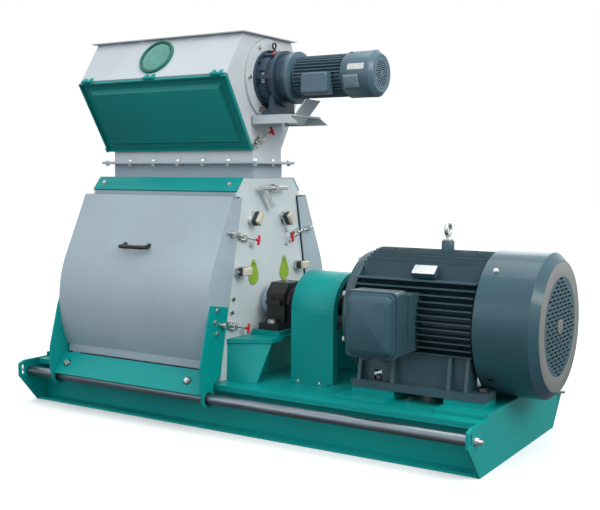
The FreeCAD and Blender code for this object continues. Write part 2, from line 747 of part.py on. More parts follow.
def raised_field(x0, x1, down0, down1, out0, out1, bevel):
    """A raised field on the lower front slope, with bevelled sides."""
    down, out = slope_frame()
    start = Vector(0, -feeder_waist[0], feeder_waist[1])
    wires = []
    for level, inset in ((out0, 0), (out1, bevel)):
        corners = [(x0 + inset, down0 + inset), (x1 - inset, down0 + inset),
                   (x1 - inset, down1 - inset), (x0 + inset, down1 - inset)]
        points = [start + down * along + out * level + Vector(x, 0, 0) for x, along in corners]
        wires.append(Part.makePolygon(points + points[:1]))
    return Part.makeLoft(wires, True, True)


def hex_outline(inset):
    half = [(feeder_top[0] - inset, feeder_top[1]), (feeder_waist[0] - inset * 1.2, feeder_waist[1]),
            (neck_half - inset, feeder_neck_z), (neck_half - inset, joint_flange_z)]
    return half + [(-y, z) for y, z in reversed(half)]


def feeder_sheets(housing):
    """The sheets and plates that the welded feeder housing is made from."""
    far = 2000.0
    left = feeder_left + sheet
    right = feeder_right - sheet
    lip = feeder_top[1] - 5
    collar = joint_flange_z + 7
    spaces = []
    for half, z0, z1 in ((feeder_top[0] - sheet, lip, lip + 5), (neck_half - sheet, joint_flange_z, collar)):
        spaces += both_sides(box(-far, far, half, far, z0, z1))
        spaces.append(box(-far, far, -half, half, z0, z1))
    for x0, x1 in ((-far, left), (right, far)):
        spaces.append(box(x0, x1, -far, far, feeder_neck_z, lip))
        spaces.append(box(x0, x1, -far, far, collar, feeder_neck_z))
    spaces.append(box(-far, neck_left + 6, -far, far, collar, feeder_neck_z))
    spaces.append(box(-far, neck_left + 6, -far, far, feeder_neck_z, feeder_neck_z + sheet))
    for z0, z1 in ((collar, feeder_neck_z), (feeder_neck_z, feeder_waist[1]), (feeder_waist[1], lip)):
        spaces += both_sides(box(-far, far, 0, far, z0, z1))
    return cut_apart(housing, spaces)


def make_feeder_housing():
    shell = plate_x(hex_outline(0), feeder_left, feeder_right)
    shell = shell.cut(box(feeder_left, neck_left, -200, 200, joint_flange_z, feeder_neck_z))
    shell = shell.cut(plate_x(hex_outline(sheet), neck_left + 6, feeder_right - sheet))
    upper_room = [p for p in hex_outline(sheet) if p[1] >= feeder_neck_z]
    upper_room = plate_x(upper_room, feeder_left + sheet, feeder_right - sheet)
    floor = box(feeder_left, neck_left + 6, -neck_half, neck_half, feeder_neck_z, feeder_neck_z + sheet)
    shell = shell.cut(upper_room.cut(floor))
    out = joint_flange_out
    collar = box(neck_left - out, neck_right + out, -neck_half - out, neck_half + out,
                 joint_flange_z, joint_flange_z + 7)
    collar = collar.cut(box(neck_left + 6, feeder_right - sheet, -neck_half + sheet, neck_half - sheet,
                            joint_flange_z, joint_flange_z + 7))
    lip = box(feeder_left - 28, feeder_right + 28, -feeder_top[0] - 28, feeder_top[0] + 28,
              feeder_top[1] - 5, feeder_top[1])
    inlet_half = feeder_top[0] - sheet
    lip = lip.cut(box(feeder_left + sheet, feeder_right - sheet, -inlet_half, inlet_half,
                      feeder_top[1] - 5, feeder_top[1]))
    housing = joined([shell, collar, lip])
    housing = drilled(housing, flange_bolt_places(), (0, 0, 1), 6.3, 20)
    housing = drilled(housing, inlet_hole_places(), (0, 0, 1), 6.0, 20)
    housing = housing.cut(slope_plate(feeder_left + 60, feeder_right - 60, 50, 380, -12, 4))
    housing = housing.cut(window_disc(pane_r - 6, -12, 4))
    housing = housing.cut(rod_x(feeder_left, feeder_left + sheet, 0, feed_z, 31))
    housing = housing.cut(rod_x(feeder_right - sheet, feeder_right, 0, feed_z, 31))
    save("feeder_housing", *(feeder_sheets(housing) + feed_side_plates()))
    stack = 14
    places = [(x, y, z + 7) for x, y, z in flange_bolt_places()]
    return [bolt(place, (0, 0, 1), 12, stack, stack) for place in places]


def inlet_hole_places():
    """Bolt holes in the lip round the feeder's inlet."""
    left = feeder_left - 14
    right = feeder_right + 14
    edge = feeder_top[0] + 14
    xs = [left + (right - left) * k / 6.0 for k in range(7)]
    return [(x, side * edge, feeder_top[1]) for side in (-1, 1) for x in xs]


def window_disc(radius, out0, out1):
    """A disc on the feeder's upper front slope."""
    up = Vector(0, feeder_waist[0] - feeder_top[0], feeder_top[1] - feeder_waist[1])
    up.normalize()
    out = Vector(0, -up.z, up.y)
    middle = Vector(window_x, -(feeder_waist[0] + feeder_top[0]) / 2.0,
                    (feeder_waist[1] + feeder_top[1]) / 2.0)
    start = middle + out * out0
    return rod((start.x, start.y, start.z), (0, out.y, out.z), radius, out1 - out0)


def make_window():
    ring = window_disc(window_r, 0, 13).cut(window_disc(pane_r, 0, 13))
    ring = joined([ring, window_disc(pane_r, 0, 2).cut(window_disc(pane_r - 6, 0, 2))])
    save("feeder_window_ring", ring)
    save("feeder_window_pane", window_disc(pane_r - 0.5, 2, 6))


def make_feeder_cover():
    left = feeder_left - 6
    right = feeder_right + 4
    pieces = [slope_plate(left, right, 6, cover_down, 2, 6)]
    for down0, down1 in ((6, 14), (cover_down - 8, cover_down)):
        pieces.append(slope_plate(left, right, down0, down1, 2, 22))
    for x0, x1 in ((left, left + 8), (right - 8, right)):
        pieces.append(slope_plate(x0, x1, 6, cover_down, 2, 22))
    border = 50
    raised = raised_field(left + border, right - border, border, cover_down - 34, 2, 27, 22)
    under = raised_field(left + border + 5, right - border - 5, border + 5, cover_down - 39, -2, 23, 22)
    pieces[0] = pieces[0].fuse(raised).cut(under)
    for x in (left, right):
        pieces.append(slope_plate(x - 5, x + 5, cover_down - 24, cover_down + 2, 4, 26))
    hinge = hinge_point()
    for x in hinge_stations():
        pieces.append(slope_plate(x - 13.5, x + 13.5, -4, 12, 10, 24))
        pieces.append(rod_x(x - 13.5, x + 13.5, hinge.y, hinge.z, 9))
    cover = joined(pieces)
    for x in hinge_stations():
        cover = cover.cut(rod_x(x - 60, x + 60, hinge.y, hinge.z, 5.3))
        for x0, x1 in ((x - 36, x - 13.5), (x + 13.5, x + 36)):
            cover = cover.cut(rod_x(x0, x1, hinge.y, hinge.z, 10))
    save("feeder_cover", cover)
    middle = (feeder_left + feeder_right) / 2.0
    magnets = [slope_plate(x - 110, x + 110, 130, 330, -14, 2)
               for x in (middle - 295, middle, middle + 295)]
    save("cover_magnets", *magnets)


def make_cover_hinges():
    """Fixed knuckles on the housing's upper slope, and the pins they hold."""
    hinge = hinge_point()
    waist_y = -feeder_waist[0]
    waist_z = feeder_waist[1]
    outline = [(hinge.y - 7, hinge.z + 4), (hinge.y + 7, hinge.z - 2), (waist_y + 9, waist_z + 10),
               (waist_y + 6, waist_z + 17)]
    knuckles = []
    pins = []
    for x in hinge_stations():
        for x0, x1 in ((x - 30, x - 14.5), (x + 14.5, x + 30)):
            lug = joined([rod_x(x0, x1, hinge.y, hinge.z, 9), plate_x(outline, x0, x1)])
            lug = lug.cut(rod_x(x0, x1, hinge.y, hinge.z, 5))
            knuckles.append(lug.cut(plate_x(hex_outline(0), x0, x1)))
        pins.append(rod_x(x - 34, x + 34, hinge.y, hinge.z, 5))
    save("cover_hinges", *(knuckles + pins))


def hinge_point():
    down, out = slope_frame()
    return Vector(0, -feeder_waist[0], feeder_waist[1]) + down * -4 + out * 17


def hinge_stations():
    return [feeder_left + 55, (feeder_left + feeder_right) / 2.0, feeder_right - 55]


def make_feed_roll():
    left = feeder_left + sheet
    right = feeder_right - sheet
    shaft = rod_x(left - 40, 30, 0, feed_z, 30)
    body = tube_x(left + 6, right - 6, 0, feed_z, 120, 30)
    pockets = []
    for k in range(8):
        y = 128 * math.cos(2 * math.pi * k / 8)
        z = feed_z + 128 * math.sin(2 * math.pi * k / 8)
        pockets.append(rod_x(left + 16, right - 16, y, z, 36))
    save("feed_roll", shaft, body.cut(Part.makeCompound(pockets)))


def feed_side_plates():
    """Plates that lead the grain down onto both sides of the feed roll."""
    left = feeder_left + sheet
    right = feeder_right - sheet
    low = feed_z - 4
    high = feed_z + 165
    return both_sides(plate_x([(125, low), (132, low), (236, high), (229, high)], left + 1, right - 1))


def make_feeder_drive():
    """The gear unit on the feeder's end wall: mount ring, ribbed reducer and its bracket."""
    f = reducer_face
    ring = tube_x(feeder_right, f, 0, feed_z, 208, 31)
    places = []
    for k in range(6):
        angle = math.radians(60 * k)
        places.append((f, 182 * math.cos(angle), feed_z + 182 * math.sin(angle)))
    ring = drilled(ring, places, (1, 0, 0), 6.3, 12)
    bracket_top = feed_z - 192
    pieces = [rod_x(a, b, 0, feed_z, radius) for a, b, radius in (
        (f, f + 14, 150), (f + 14, f + 62, 130), (f + 62, f + 92, 124),
        (f + 92, f + 112, 141), (f + 112, f + 152, 118), (f + 152, reducer_end, 130))]
    lug = box(f + 14, f + 112, -10, 10, 118, 141)
    for k in range(6):
        pieces.append(turned_about_x(lug, 0, 0, 60 * k + 30).translate(Vector(0, 0, feed_z)))
    pieces.append(box(f + 34, f + 130, -118, 118, bracket_top, bracket_top + 18))
    pieces.append(plate_x([(-104, bracket_top + 18), (104, bracket_top + 18), (84, feed_z - 60),
                           (-84, feed_z - 60)], f + 62, f + 92))
    pieces.append(rod((f + eye_out, 0, feed_z + 110), (0, 0, 1), 17, 32))
    reducer = joined(pieces).cut(rod_x(f, reducer_end, 0, feed_z, 34))
    recess = box(f + 22, f + 56, -140, -112, feed_z - 34, feed_z + 34)
    reducer = reducer.cut(recess)
    save("feeder_reducer", reducer.cut(rod((f + eye_out, 0, feed_z + 118), (0, 0, 1), 8.2, 60)))
    deck = bracket_top - 8
    tongue = plate_y([(98, deck - 36), (106, deck - 36), (208, feed_z - 117), (200, feed_z - 117)], -96, 40)
    bracket = [box(f, 143, -150, 150, deck, bracket_top), tongue]
    bracket += both_sides(plate_y([(f, deck - 36), (190, deck - 36), (143, deck), (f, deck)], 144, 150))
    save("reducer_bracket", ring, joined(bracket))
    return [bolt(place, (1, 0, 0), 12, 12) for place in places]


def make_gear_motor():
    left = gear_frame_left
    right = gear_frame_right
    pieces = [tube_x(reducer_end, left, 0, feed_z, 132, 60), tube_x(left, right, 0, feed_z, 86, 76)]
    fin = box(left + 14, right, -1.8, 1.8, 80, 106)
    for k in range(36):
        pieces.append(turned_about_x(fin, 0, 0, 10 * k + 5).translate(Vector(0, 0, feed_z)))
    pieces.append(box(196, 350, -118, -80, feed_z - 98, feed_z + 10))
    frame = joined(pieces).cut(rod_x(reducer_end, right, 0, feed_z, 60))
    frame = frame.cut(rod_x(left, right, 0, feed_z, 76))
    lid = rounded_box(198, 348, -146, -118, feed_z - 96, feed_z + 8, 18, 1)
    edges = [e for e in lid.Edges if abs(e.CenterOfMass.y + 146) < 0.5]
    shield = tube_x(right, right + 14, 0, feed_z, 104, 18.3)
    save("feeder_motor_frame", frame, lid.makeFillet(12, edges), shield)
    end = gear_cowl_right
    cowl = cowl_solid(right + 15, end, feed_z, 114, 3, 22, 78)
    cowl = cowl.cut(slot_rows(end - 8, end + 1, feed_z, 66, 14, 9.5, 15, 4.5))
    save("feeder_motor_cowl", cowl)
    shaft = joined([rod_x(40, 492, 0, feed_z, 18), rod_x(left + 32, right - 42, 0, feed_z, 46)])
    pieces = [tube_x(440, 485, 0, feed_z, 34, 18)]
    blade = box(444, 484, -2, 2, 30, 96)
    for k in range(7):
        pieces.append(turned_about_x(blade, 0, 0, 360.0 / 7 * k).translate(Vector(0, 0, feed_z)))
    save("feeder_motor_rotor", shaft, joined(pieces))


# ---------------------------------------------------------------- doors
def door_outline(inset):
    """The front door's outer line from top to bottom, as edges in the plane x = 0.
    Also gives its two end points."""
    radius = drum_r - inset
    a1 = math.radians(drum_line_deg)
    a0 = math.radians(drum_low_deg)

    def at(angle):
        return Vector(0, -radius * math.cos(angle), axis_z + radius * math.sin(angle))

    knee = at(a1)
    top = Vector(0, knee.y + (door_top - knee.z) * math.tan(a1), door_top)
    round_part = Part.Arc(knee, at((a0 + a1) / 2.0), at(a0)).toShape()
    return [Part.makeLine(top, knee), round_part], top, at(a0)


def flank_y(z):
    """y of the front door's straight flank at this height."""
    top = door_outline(0)[1]
    return top.y - (door_top - z) * math.tan(math.radians(drum_line_deg))


def face_of(edges):
    return Part.Face(Part.Wire(Part.__sortEdges__(edges)))


def door_ends():
    """x of the outer faces of a door's two end walls."""
    return mill_left - door_proud, mill_right + door_proud


def door_skin_solid(x0, x1):
    """The bent skin: straight flank above, round part below."""
    outer, top, low = door_outline(0)
    inner, top_in, low_in = door_outline(door_skin)
    skin = face_of(outer + inner + [Part.makeLine(low, low_in), Part.makeLine(top_in, top)])
    skin.translate(Vector(x0, 0, 0))
    return skin.extrude(Vector(x1 - x0, 0, 0))


def door_wall_solid(x0):
    """An end wall: it fills the space between the skin and the side plate's slanting edge."""
    outer, top, low = door_outline(1)
    z_top = joint_top[1]
    upper = Vector(0, -joint_line(z_top) - gap, z_top)
    lower = Vector(0, -joint_line(low.z) - gap, low.z)
    corner = Vector(0, top.y, z_top)
    wall = face_of(outer + [Part.makeLine(low, lower), Part.makeLine(lower, upper),
                            Part.makeLine(upper, corner), Part.makeLine(corner, top)])
    wall.translate(Vector(x0, 0, 0))
    return wall.extrude(Vector(door_skin, 0, 0))


def make_door_shell():
    x0, x1 = door_ends()
    top = door_outline(1)[1]
    low = door_outline(1)[2]
    strip_top = box(x0, x1, top.y, -306, door_top - door_skin, door_top)
    strip_low = box(x0, x1, low.y, -joint_line(low.z) - gap, low.z, low.z + door_skin)
    hem = box(x0 + 8, x1 - 8, low.y + 1, low.y + 7, 298, low.z)
    shell = joined([door_skin_solid(x0, x1), door_wall_solid(x0), door_wall_solid(x1 - door_skin),
                    strip_top, strip_low, hem])
    for x in (x0, x1):
        shell = drilled(shell, [(x, y, z) for y, z in leg_bolt_spots()], (1, 0, 0), 6.3, 10)
    for x in handle_feet():
        shell = shell.cut(rod((x, -600, handle_z), (0, 1, 0), 5.3, 200))
    return shell


def leg_bolt_spots():
    return [(-486, 596), (-500, 540), (-488, 482)]


def handle_feet():
    return (handle_mid - handle_span / 2.0, handle_mid + handle_span / 2.0)


def leg_solid(x0, x1):
    """A door leg: a flat plate from the end wall down to an eye round the guide rail."""
    y, z = -rail_y, rail_z
    plate = plate_x([(-530, 624), (-392, 602), (-428, 430), (-456, 266), (-512, 240), (y + 36, z),
                     (y - 48, z), (-616, 216), (-616, 338), (-556, 559)], x0, x1)
    eye = rod_x(x0, x1, y, z, 48)
    leg = joined([plate, eye]).cut(rod_x(x0, x1, y, z, 31.3))
    return drilled(leg, [(x0, py, pz) for py, pz in leg_bolt_spots()], (1, 0, 0), 6.3, 12)


def make_door_frame():
    """Two legs and the bar between them, with the bolts that hold them."""
    x0, x1 = door_ends()
    out = Vector(0, bar_low[1] - bar_high[1], bar_high[0] - bar_low[0])
    out.normalize()
    corners = [Vector(0, *bar_high), Vector(0, *bar_low)]
    corners += [corner - out * bar_thick for corner in reversed(corners)]
    bar = plate_x([(corner.y, corner.z) for corner in corners], x0, x1)
    frame = [leg_solid(x0 - 10, x0), leg_solid(x1, x1 + 10), bar]
    bolts = []
    for y, z in leg_bolt_spots():
        bolts.append(bolt((x1 + 10, y, z), (1, 0, 0), 12, 15.5))
        bolts.append(bolt((x0 - 10, y, z), (-1, 0, 0), 12, 15.5))
    outward = (0, out.y, out.z)
    middle = (corners[0] + corners[1]) * 0.5
    for x in (x0 + 62, x1 - 120):
        seat = Vector(x, middle.y, middle.z) + out * 0.6
        head = seat + out * 12
        bolts.append(joined([rod(tuple(seat), outward, 17, 12),
                             hexagon(tuple(head), outward, 27, 12)]).cut(bar))
    return frame, bolts


def make_handle():
    """A bow handle of bent round bar on the door's straight flank."""
    left, right = handle_feet()
    foot_y = flank_y(handle_z) + 3
    grip_y = foot_y - 52
    spots = [(left, foot_y), (left, grip_y + 16), (left + 22, grip_y), (right - 22, grip_y),
             (right, grip_y + 16), (right, foot_y)]
    corners = [Vector(x, y, handle_z) for x, y in spots]
    bar = []
    for start, end in zip(corners, corners[1:]):
        run = end - start
        bar.append(rod(tuple(start), tuple(run), 11, run.Length))
        bar.append(Part.makeSphere(11, start))
    behind_skin = box(-2000, 2000, 0, 4000, -2000, 2000)
    behind_skin.rotate(Vector(0, 0, 0), Vector(1, 0, 0), -drum_line_deg)
    behind_skin.translate(Vector(0, flank_y(handle_z), handle_z))
    return joined(bar).cut(behind_skin)


def make_sleeves():
    """Bushes on the rail inside the legs' eyes."""
    x0, x1 = door_ends()
    return [tube_x(a, a + 22, -rail_y, rail_z, 31, rail_r + 0.3) for a in (x0 - 16, x1 - 6)]


def make_doors():
    frame, bolts = make_door_frame()
    keepers = [keeper_solid(z) for z in clamp_heights]
    groups = {"shell": [make_door_shell()], "frame": frame,
              "fittings": [make_handle()] + bolts + keepers, "sleeves": make_sleeves()}
    for name, solids in groups.items():
        save("front_door_" + name, *solids)
        save("rear_door_" + name, *[mirrored(s) for s in solids])


# ---------------------------------------------------------------- clamps, switches, guide plate
def keeper_solid(z):
    """A draw rod with its lug, fixed outside the front door's end wall."""
    x = mill_right + door_proud + (10.2 if z < 620 else 0.2)
    near = -joint_line(z) - gap - 2
    lug = box(x, x + 26, near - 58, near - 40, z - 14, z + 14)
    stem = rod((x + 14, near, z), (0, -1, 0), 5, 92)
    keeper = joined([lug, stem, hexagon((x + 14, near - 58, z), (0, -1, 0), 16, 10)])
    return turned_about_x(keeper, 4 - joint_line(z), z, -clamp_tilt)


def clamp_pieces():
    """One toggle clamp about its own origin: base plate in the plane x = 0, hook towards -y.
    Returns the base, the lever with its T grip, and the hook."""
    length = clamp_base_long
    base = joined([box(0, 4, 0, length, -20, 20), box(0, 30, 34, 70, -13, -9), box(0, 30, 34, 70, 9, 13)])
    pivot = rod((20, 52, -16), (0, 0, 1), 4, 32)
    base = base.cut(pivot)
    lever = joined([box(15, 25, 40, 64, -8.5, 8.5), rod((20, 60, 0), (0.32, 1, 0), 5, 64)])
    lever = lever.cut(rod((20, 52, -16), (0, 0, 1), 4.3, 32))
    tip = Vector(20, 60, 0) + Vector(0.32, 1, 0).normalize() * 64
    grip = joined([rod((tip.x, tip.y, tip.z), (0.32, 1, 0), 7, 22),
                   rod((tip.x + 6.7, tip.y + 21, -24), (0, 0, 1), 7, 48)])
    hook = joined([rod((20, 0, 0), (0, 1, 0), 5, 36), box(14, 26, -2, 4, -11, 11)])
    return base, pivot, lever, grip, hook


def place_clamp(shapes, side, y, z, x, tilt):
    placed = []
    for shape in shapes:
        copy = shape.copy()
        if side > 0:
            copy = mirrored(copy)
        copy.rotate(Vector(0, 0, 0), Vector(1, 0, 0), tilt)
        copy.translate(Vector(x, y, z))
        placed.append(copy)
    return placed


def clamp_stations():
    """Name, side, y, z, x and tilt of every toggle clamp."""
    stations = []
    for label, z in zip(("upper", "lower"), clamp_heights):
        for word, side in (("front", -1), ("rear", 1)):
            y = side * (joint_line(z) - 4)
            stations.append((word + "_" + label, side, y, z, mill_right, side * clamp_tilt))
    stations.append(("feeder", -1, -130, 1400, feeder_right, 38))
    return stations


def make_clamps():
    base, pivot, lever, grip, hook = clamp_pieces()
    bases = []
    pivots = []
    hooks = []
    for name, side, y, z, x, tilt in clamp_stations():
        placed = place_clamp([base, pivot, lever, grip, hook], side, y, z, x, tilt)
        bases.append(placed[0])
        pivots.append(placed[1])
        save("clamp_lever_" + name, placed[2], placed[3])
        hooks.append(placed[4])
    save("clamp_bases", *(bases + pivots + hooks))


def switch_solid(y, z, turn):
    """A limit switch standing on the right side plate, its plunger turned to a cover or door."""
    body = rounded_box(0, 66, -21, 21, -34, 34, 5, 0)
    plunger = rod((33, 0, 34), (0, 0, 1), 6, 12)
    solid = joined([body, plunger])
    solid.rotate(Vector(0, 0, 0), Vector(1, 0, 0), turn)
    solid.translate(Vector(mill_right, y, z))
    return solid


def make_guide_plate():
    inner_left = mill_left + side_plate
    inner_right = mill_right - side_plate
    shaft = rod_x(mill_left - 20, mill_right + 66, guide_y, guide_z, 11)
    blade = box(inner_left + 6, inner_right - 6, guide_y - 3, guide_y + 3, guide_z - 150, guide_z - 14)
    flap = joined([blade, rod_x(inner_left + 6, inner_right - 6, guide_y, guide_z, 17)])
    flap = flap.cut(rod_x(inner_left, inner_right, guide_y, guide_z, 11))
    x = mill_right + 28
    hub = tube_x(x - 10, x + 22, guide_y, guide_z, 20, 11)
    bar = rounded_box(x + 8, x + 20, guide_y - 122, guide_y + 123, guide_z - 11, guide_z + 11, 5, 1)
    arm = plate_x([(guide_y - 112, guide_z + 8), (guide_y - 78, guide_z + 8),
                   (guide_y + 10, guide_z - 98), (guide_y - 20, guide_z - 106)], x + 8, x + 14)
    lever = joined([hub, bar, arm]).cut(rod_x(x - 12, x + 40, guide_y, guide_z, 11))
    save("guide_plate", shaft, flap, lever)


def make_small_controls():
    switches = [switch_solid(-158, 1038, -38), switch_solid(128, 1030, 38), switch_solid(-274, 772, 90),
                switch_solid(274, 766, -90)]
    save("limit_switches", *switches)
    pivot_z = axis_z + pin_offset + 72
    for word, side in (("front", -1), ("rear", 1)):
        y = side * pin_offset
        lobe = rod_x(mill_right + 0.5, mill_right + 4.5, y, axis_z + pin_offset, 43)
        head = rod_x(mill_right + 0.5, mill_right + 4.5, y, pivot_z, 16)
        web = plate_x([(y - 40, axis_z + pin_offset + 16), (y + 40, axis_z + pin_offset + 16),
                       (y + 15, pivot_z + 5), (y - 15, pivot_z + 5)], mill_right + 0.5, mill_right + 4.5)
        cover = joined([lobe, head, web]).cut(rod_x(mill_right, mill_right + 6, y, pivot_z, 5.3))
        save(word + "_pin_cover", cover)
    pivots = []
    for side in (-1, 1):
        y = side * pin_offset
        pivots.append(joined([rod_x(mill_right, mill_right + 5, y, pivot_z, 5),
                              hexagon((mill_right + 5, y, pivot_z), (1, 0, 0), 16, 7)]))
    return pivots


def make_eye_bolts():
    main = eye_bolt(939, 0, 952, 26, 27, 9)
    small = eye_bolt(reducer_face + eye_out, 0, feed_z + 142, 14, 15, 5)
    return [main, small]


os.makedirs("parts", exist_ok=True)
make_skid()
fasteners = make_rails()
fasteners += make_side_plates()
make_roof()
fasteners += make_shoulder_bars()
make_screens()
fasteners += make_bearings()
make_rotor()
fasteners += make_coupling_guard()
fasteners += motor_foot_bolts()
make_motor_frame()
fasteners += make_motor_ends()
fasteners += make_motor_cowl()
make_terminal_box()
make_motor_rotor()
fasteners += make_feeder_housing()
make_window()
make_feeder_cover()
make_cover_hinges()
make_feed_roll()
fasteners += make_feeder_drive()
make_gear_motor()
make_doors()
make_clamps()
make_guide_plate()
fasteners += make_small_controls()
fasteners += make_eye_bolts()
save("frame_fasteners", *fasteners)
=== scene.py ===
import json
import math
import bmesh
import bpy
from mathutils import Matrix, Vector

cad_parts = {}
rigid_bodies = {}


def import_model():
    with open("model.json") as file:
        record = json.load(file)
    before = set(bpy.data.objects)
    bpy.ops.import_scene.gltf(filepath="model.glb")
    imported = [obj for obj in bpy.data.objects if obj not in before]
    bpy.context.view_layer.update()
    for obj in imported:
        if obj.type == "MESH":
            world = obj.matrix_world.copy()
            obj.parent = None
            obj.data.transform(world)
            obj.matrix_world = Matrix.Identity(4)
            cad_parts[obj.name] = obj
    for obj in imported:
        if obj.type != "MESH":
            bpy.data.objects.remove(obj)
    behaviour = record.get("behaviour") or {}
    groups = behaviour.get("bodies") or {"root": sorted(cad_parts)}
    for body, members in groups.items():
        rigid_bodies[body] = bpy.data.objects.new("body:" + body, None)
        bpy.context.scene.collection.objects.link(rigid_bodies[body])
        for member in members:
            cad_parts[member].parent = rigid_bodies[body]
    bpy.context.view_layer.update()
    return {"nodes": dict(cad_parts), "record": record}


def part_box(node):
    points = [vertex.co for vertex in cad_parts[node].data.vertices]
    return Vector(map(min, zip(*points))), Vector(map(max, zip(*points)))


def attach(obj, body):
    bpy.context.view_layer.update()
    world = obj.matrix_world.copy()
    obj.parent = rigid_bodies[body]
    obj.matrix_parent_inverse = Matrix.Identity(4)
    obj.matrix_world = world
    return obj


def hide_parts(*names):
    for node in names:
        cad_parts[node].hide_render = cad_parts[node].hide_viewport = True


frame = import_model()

# Looks of the hammer mill: paint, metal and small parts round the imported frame.
# Lengths are in metres. Profiles for lathe() are pairs of distance along the axis and radius.
nodes = frame["nodes"]

X = Vector((1, 0, 0))
Y = Vector((0, 1, 0))
Z = Vector((0, 0, 1))

# Widths of the bevels on sharp edges, and the angle from which an edge counts as sharp.
CAD_EDGE = 0.0012
BOLT_EDGE = 0.0006
FINE_EDGE = 0.0005
BEVEL_ANGLE = 40
SMOOTH_ANGLE = 38

# Vertices nearer to each other than this are one: in a CAD node, in its islands, in a turned ring.
WELD_GAP = 0.00002
ISLAND_GAP = 0.00001
SEAM_GAP = 0.000001

# Most values of a noise texture lie between these two.
NOISE_LOW = 0.3
NOISE_HIGH = 0.7

DUST = (0.42, 0.40, 0.36)
GRIT = (0.30, 0.30, 0.29)
RUST = (0.16, 0.12, 0.09)


# ------------------------------------------------------------------ materials
def tint(colour, factor=1.0):
    return tuple(min(1.0, c * factor) for c in colour) + (1.0,)


class Shader:
    """A principled material with small helpers for its texture nodes."""

    def __init__(self, name):
        self.material = bpy.data.materials.new(name)
        self.material.use_nodes = True
        self.nodes = self.material.node_tree.nodes
        self.links = self.material.node_tree.links
        self.bsdf = self.nodes["Principled BSDF"]
        self.place = self.nodes.new("ShaderNodeTexCoord").outputs["Object"]

    def set(self, **values):
        for key, value in values.items():
            self.bsdf.inputs[key.replace("_", " ")].default_value = value

    def noise(self, scale, detail=4.0, roughness=0.55, stretch=(1, 1, 1)):
        mapping = self.nodes.new("ShaderNodeMapping")
        mapping.inputs["Scale"].default_value = stretch
        self.links.new(self.place, mapping.inputs["Vector"])
        node = self.nodes.new("ShaderNodeTexNoise")
        node.inputs["Scale"].default_value = scale
        node.inputs["Detail"].default_value = detail
        node.inputs["Roughness"].default_value = roughness
        self.links.new(mapping.outputs["Vector"], node.inputs["Vector"])
        return node.outputs["Fac"]

    def spread(self, value, low, high, to_low=0.0, to_high=1.0):
        """A noise value, stretched from its own range to another."""
        node = self.nodes.new("ShaderNodeMapRange")
        ends = {"From Min": low, "From Max": high, "To Min": to_low, "To Max": to_high}
        for key, number in ends.items():
            node.inputs[key].default_value = number
        self.links.new(value, node.inputs["Value"])
        return node.outputs["Result"]

    def mix(self, factor, first, second):
        """A colour between two: each may be a colour or a socket."""
        node = self.nodes.new("ShaderNodeMix")
        node.data_type = "RGBA"
        sockets = (node.inputs["Factor"], node.inputs[6], node.inputs[7])
        for value, socket in zip((factor, first, second), sockets):
            if isinstance(value, bpy.types.NodeSocket):
                self.links.new(value, socket)
            else:
                socket.default_value = value
        return node.outputs[2]

    def shade(self, value, colour, dark, light, low=NOISE_LOW, high=NOISE_HIGH):
        """The colour, going from a darker to a lighter tint with a noise."""
        return self.mix(self.spread(value, low, high), tint(colour, dark), tint(colour, light))

    def colour(self, socket):
        self.links.new(socket, self.bsdf.inputs["Base Color"])

    def rough(self, value, middle, less, more):
        """Roughness, going from a little under its middle to a little over it with a noise."""
        varied = self.spread(value, NOISE_LOW, NOISE_HIGH, middle - less, middle + more)
        self.links.new(varied, self.bsdf.inputs["Roughness"])

    def bump(self, value, strength, distance):
        node = self.nodes.new("ShaderNodeBump")
        node.inputs["Strength"].default_value = strength
        node.inputs["Distance"].default_value = distance
        self.links.new(value, node.inputs["Height"])
        self.links.new(node.outputs["Normal"], self.bsdf.inputs["Normal"])


def paint(name, colour, roughness=0.36, coat=0.06):
    """Sprayed paint: slow shade changes, faint dust, orange peel."""
    shader = Shader(name)
    body = shader.shade(shader.noise(2.3, detail=3.0), colour, dark=0.92, light=1.06)
    specks = shader.spread(shader.noise(38.0, detail=8.0, roughness=0.7), 0.56, 0.74, to_high=0.03)
    shader.colour(shader.mix(specks, body, tint(DUST)))
    shader.rough(shader.noise(7.0, detail=6.0), roughness, less=0.06, more=0.10)
    shader.bump(shader.noise(420.0, detail=2.0), strength=0.10, distance=0.0004)
    shader.set(Coat_Weight=coat, Coat_Roughness=0.12, Specular_IOR_Level=0.22)
    return shader.material


def cast_paint(name, colour, roughness=0.42):
    """Paint over sand castings: the casting's grain shows through."""
    shader = Shader(name)
    body = shader.shade(shader.noise(5.0, detail=5.0), colour, dark=0.85, light=1.12)
    specks = shader.spread(shader.noise(55.0, detail=8.0, roughness=0.7), 0.58, 0.76, to_high=0.14)
    shader.colour(shader.mix(specks, body, tint(GRIT)))
    shader.rough(shader.noise(16.0, detail=6.0), roughness, less=0.08, more=0.12)
    shader.bump(shader.noise(190.0, detail=5.0, roughness=0.65), strength=0.35, distance=0.0009)
    shader.set(Coat_Weight=0.2, Coat_Roughness=0.25)
    return shader.material


def metal(name, colour, roughness, scale, stain, stretch=(1, 1, 1)):
    """Bare or plated metal with tool marks, drawn out along one direction by the stretch."""
    shader = Shader(name)
    marks = shader.noise(scale, detail=6.0, roughness=0.6, stretch=stretch)
    body = shader.shade(marks, colour, dark=0.80, light=1.12, low=0.35, high=0.65)
    stains = shader.spread(shader.noise(9.0, detail=7.0, roughness=0.65), 0.55, 0.75, to_high=stain)
    shader.colour(shader.mix(stains, body, tint(RUST)))
    shader.rough(marks, roughness, less=0.07, more=0.12)
    shader.bump(marks, strength=0.15, distance=0.0003)
    shader.set(Metallic=1.0)
    return shader.material


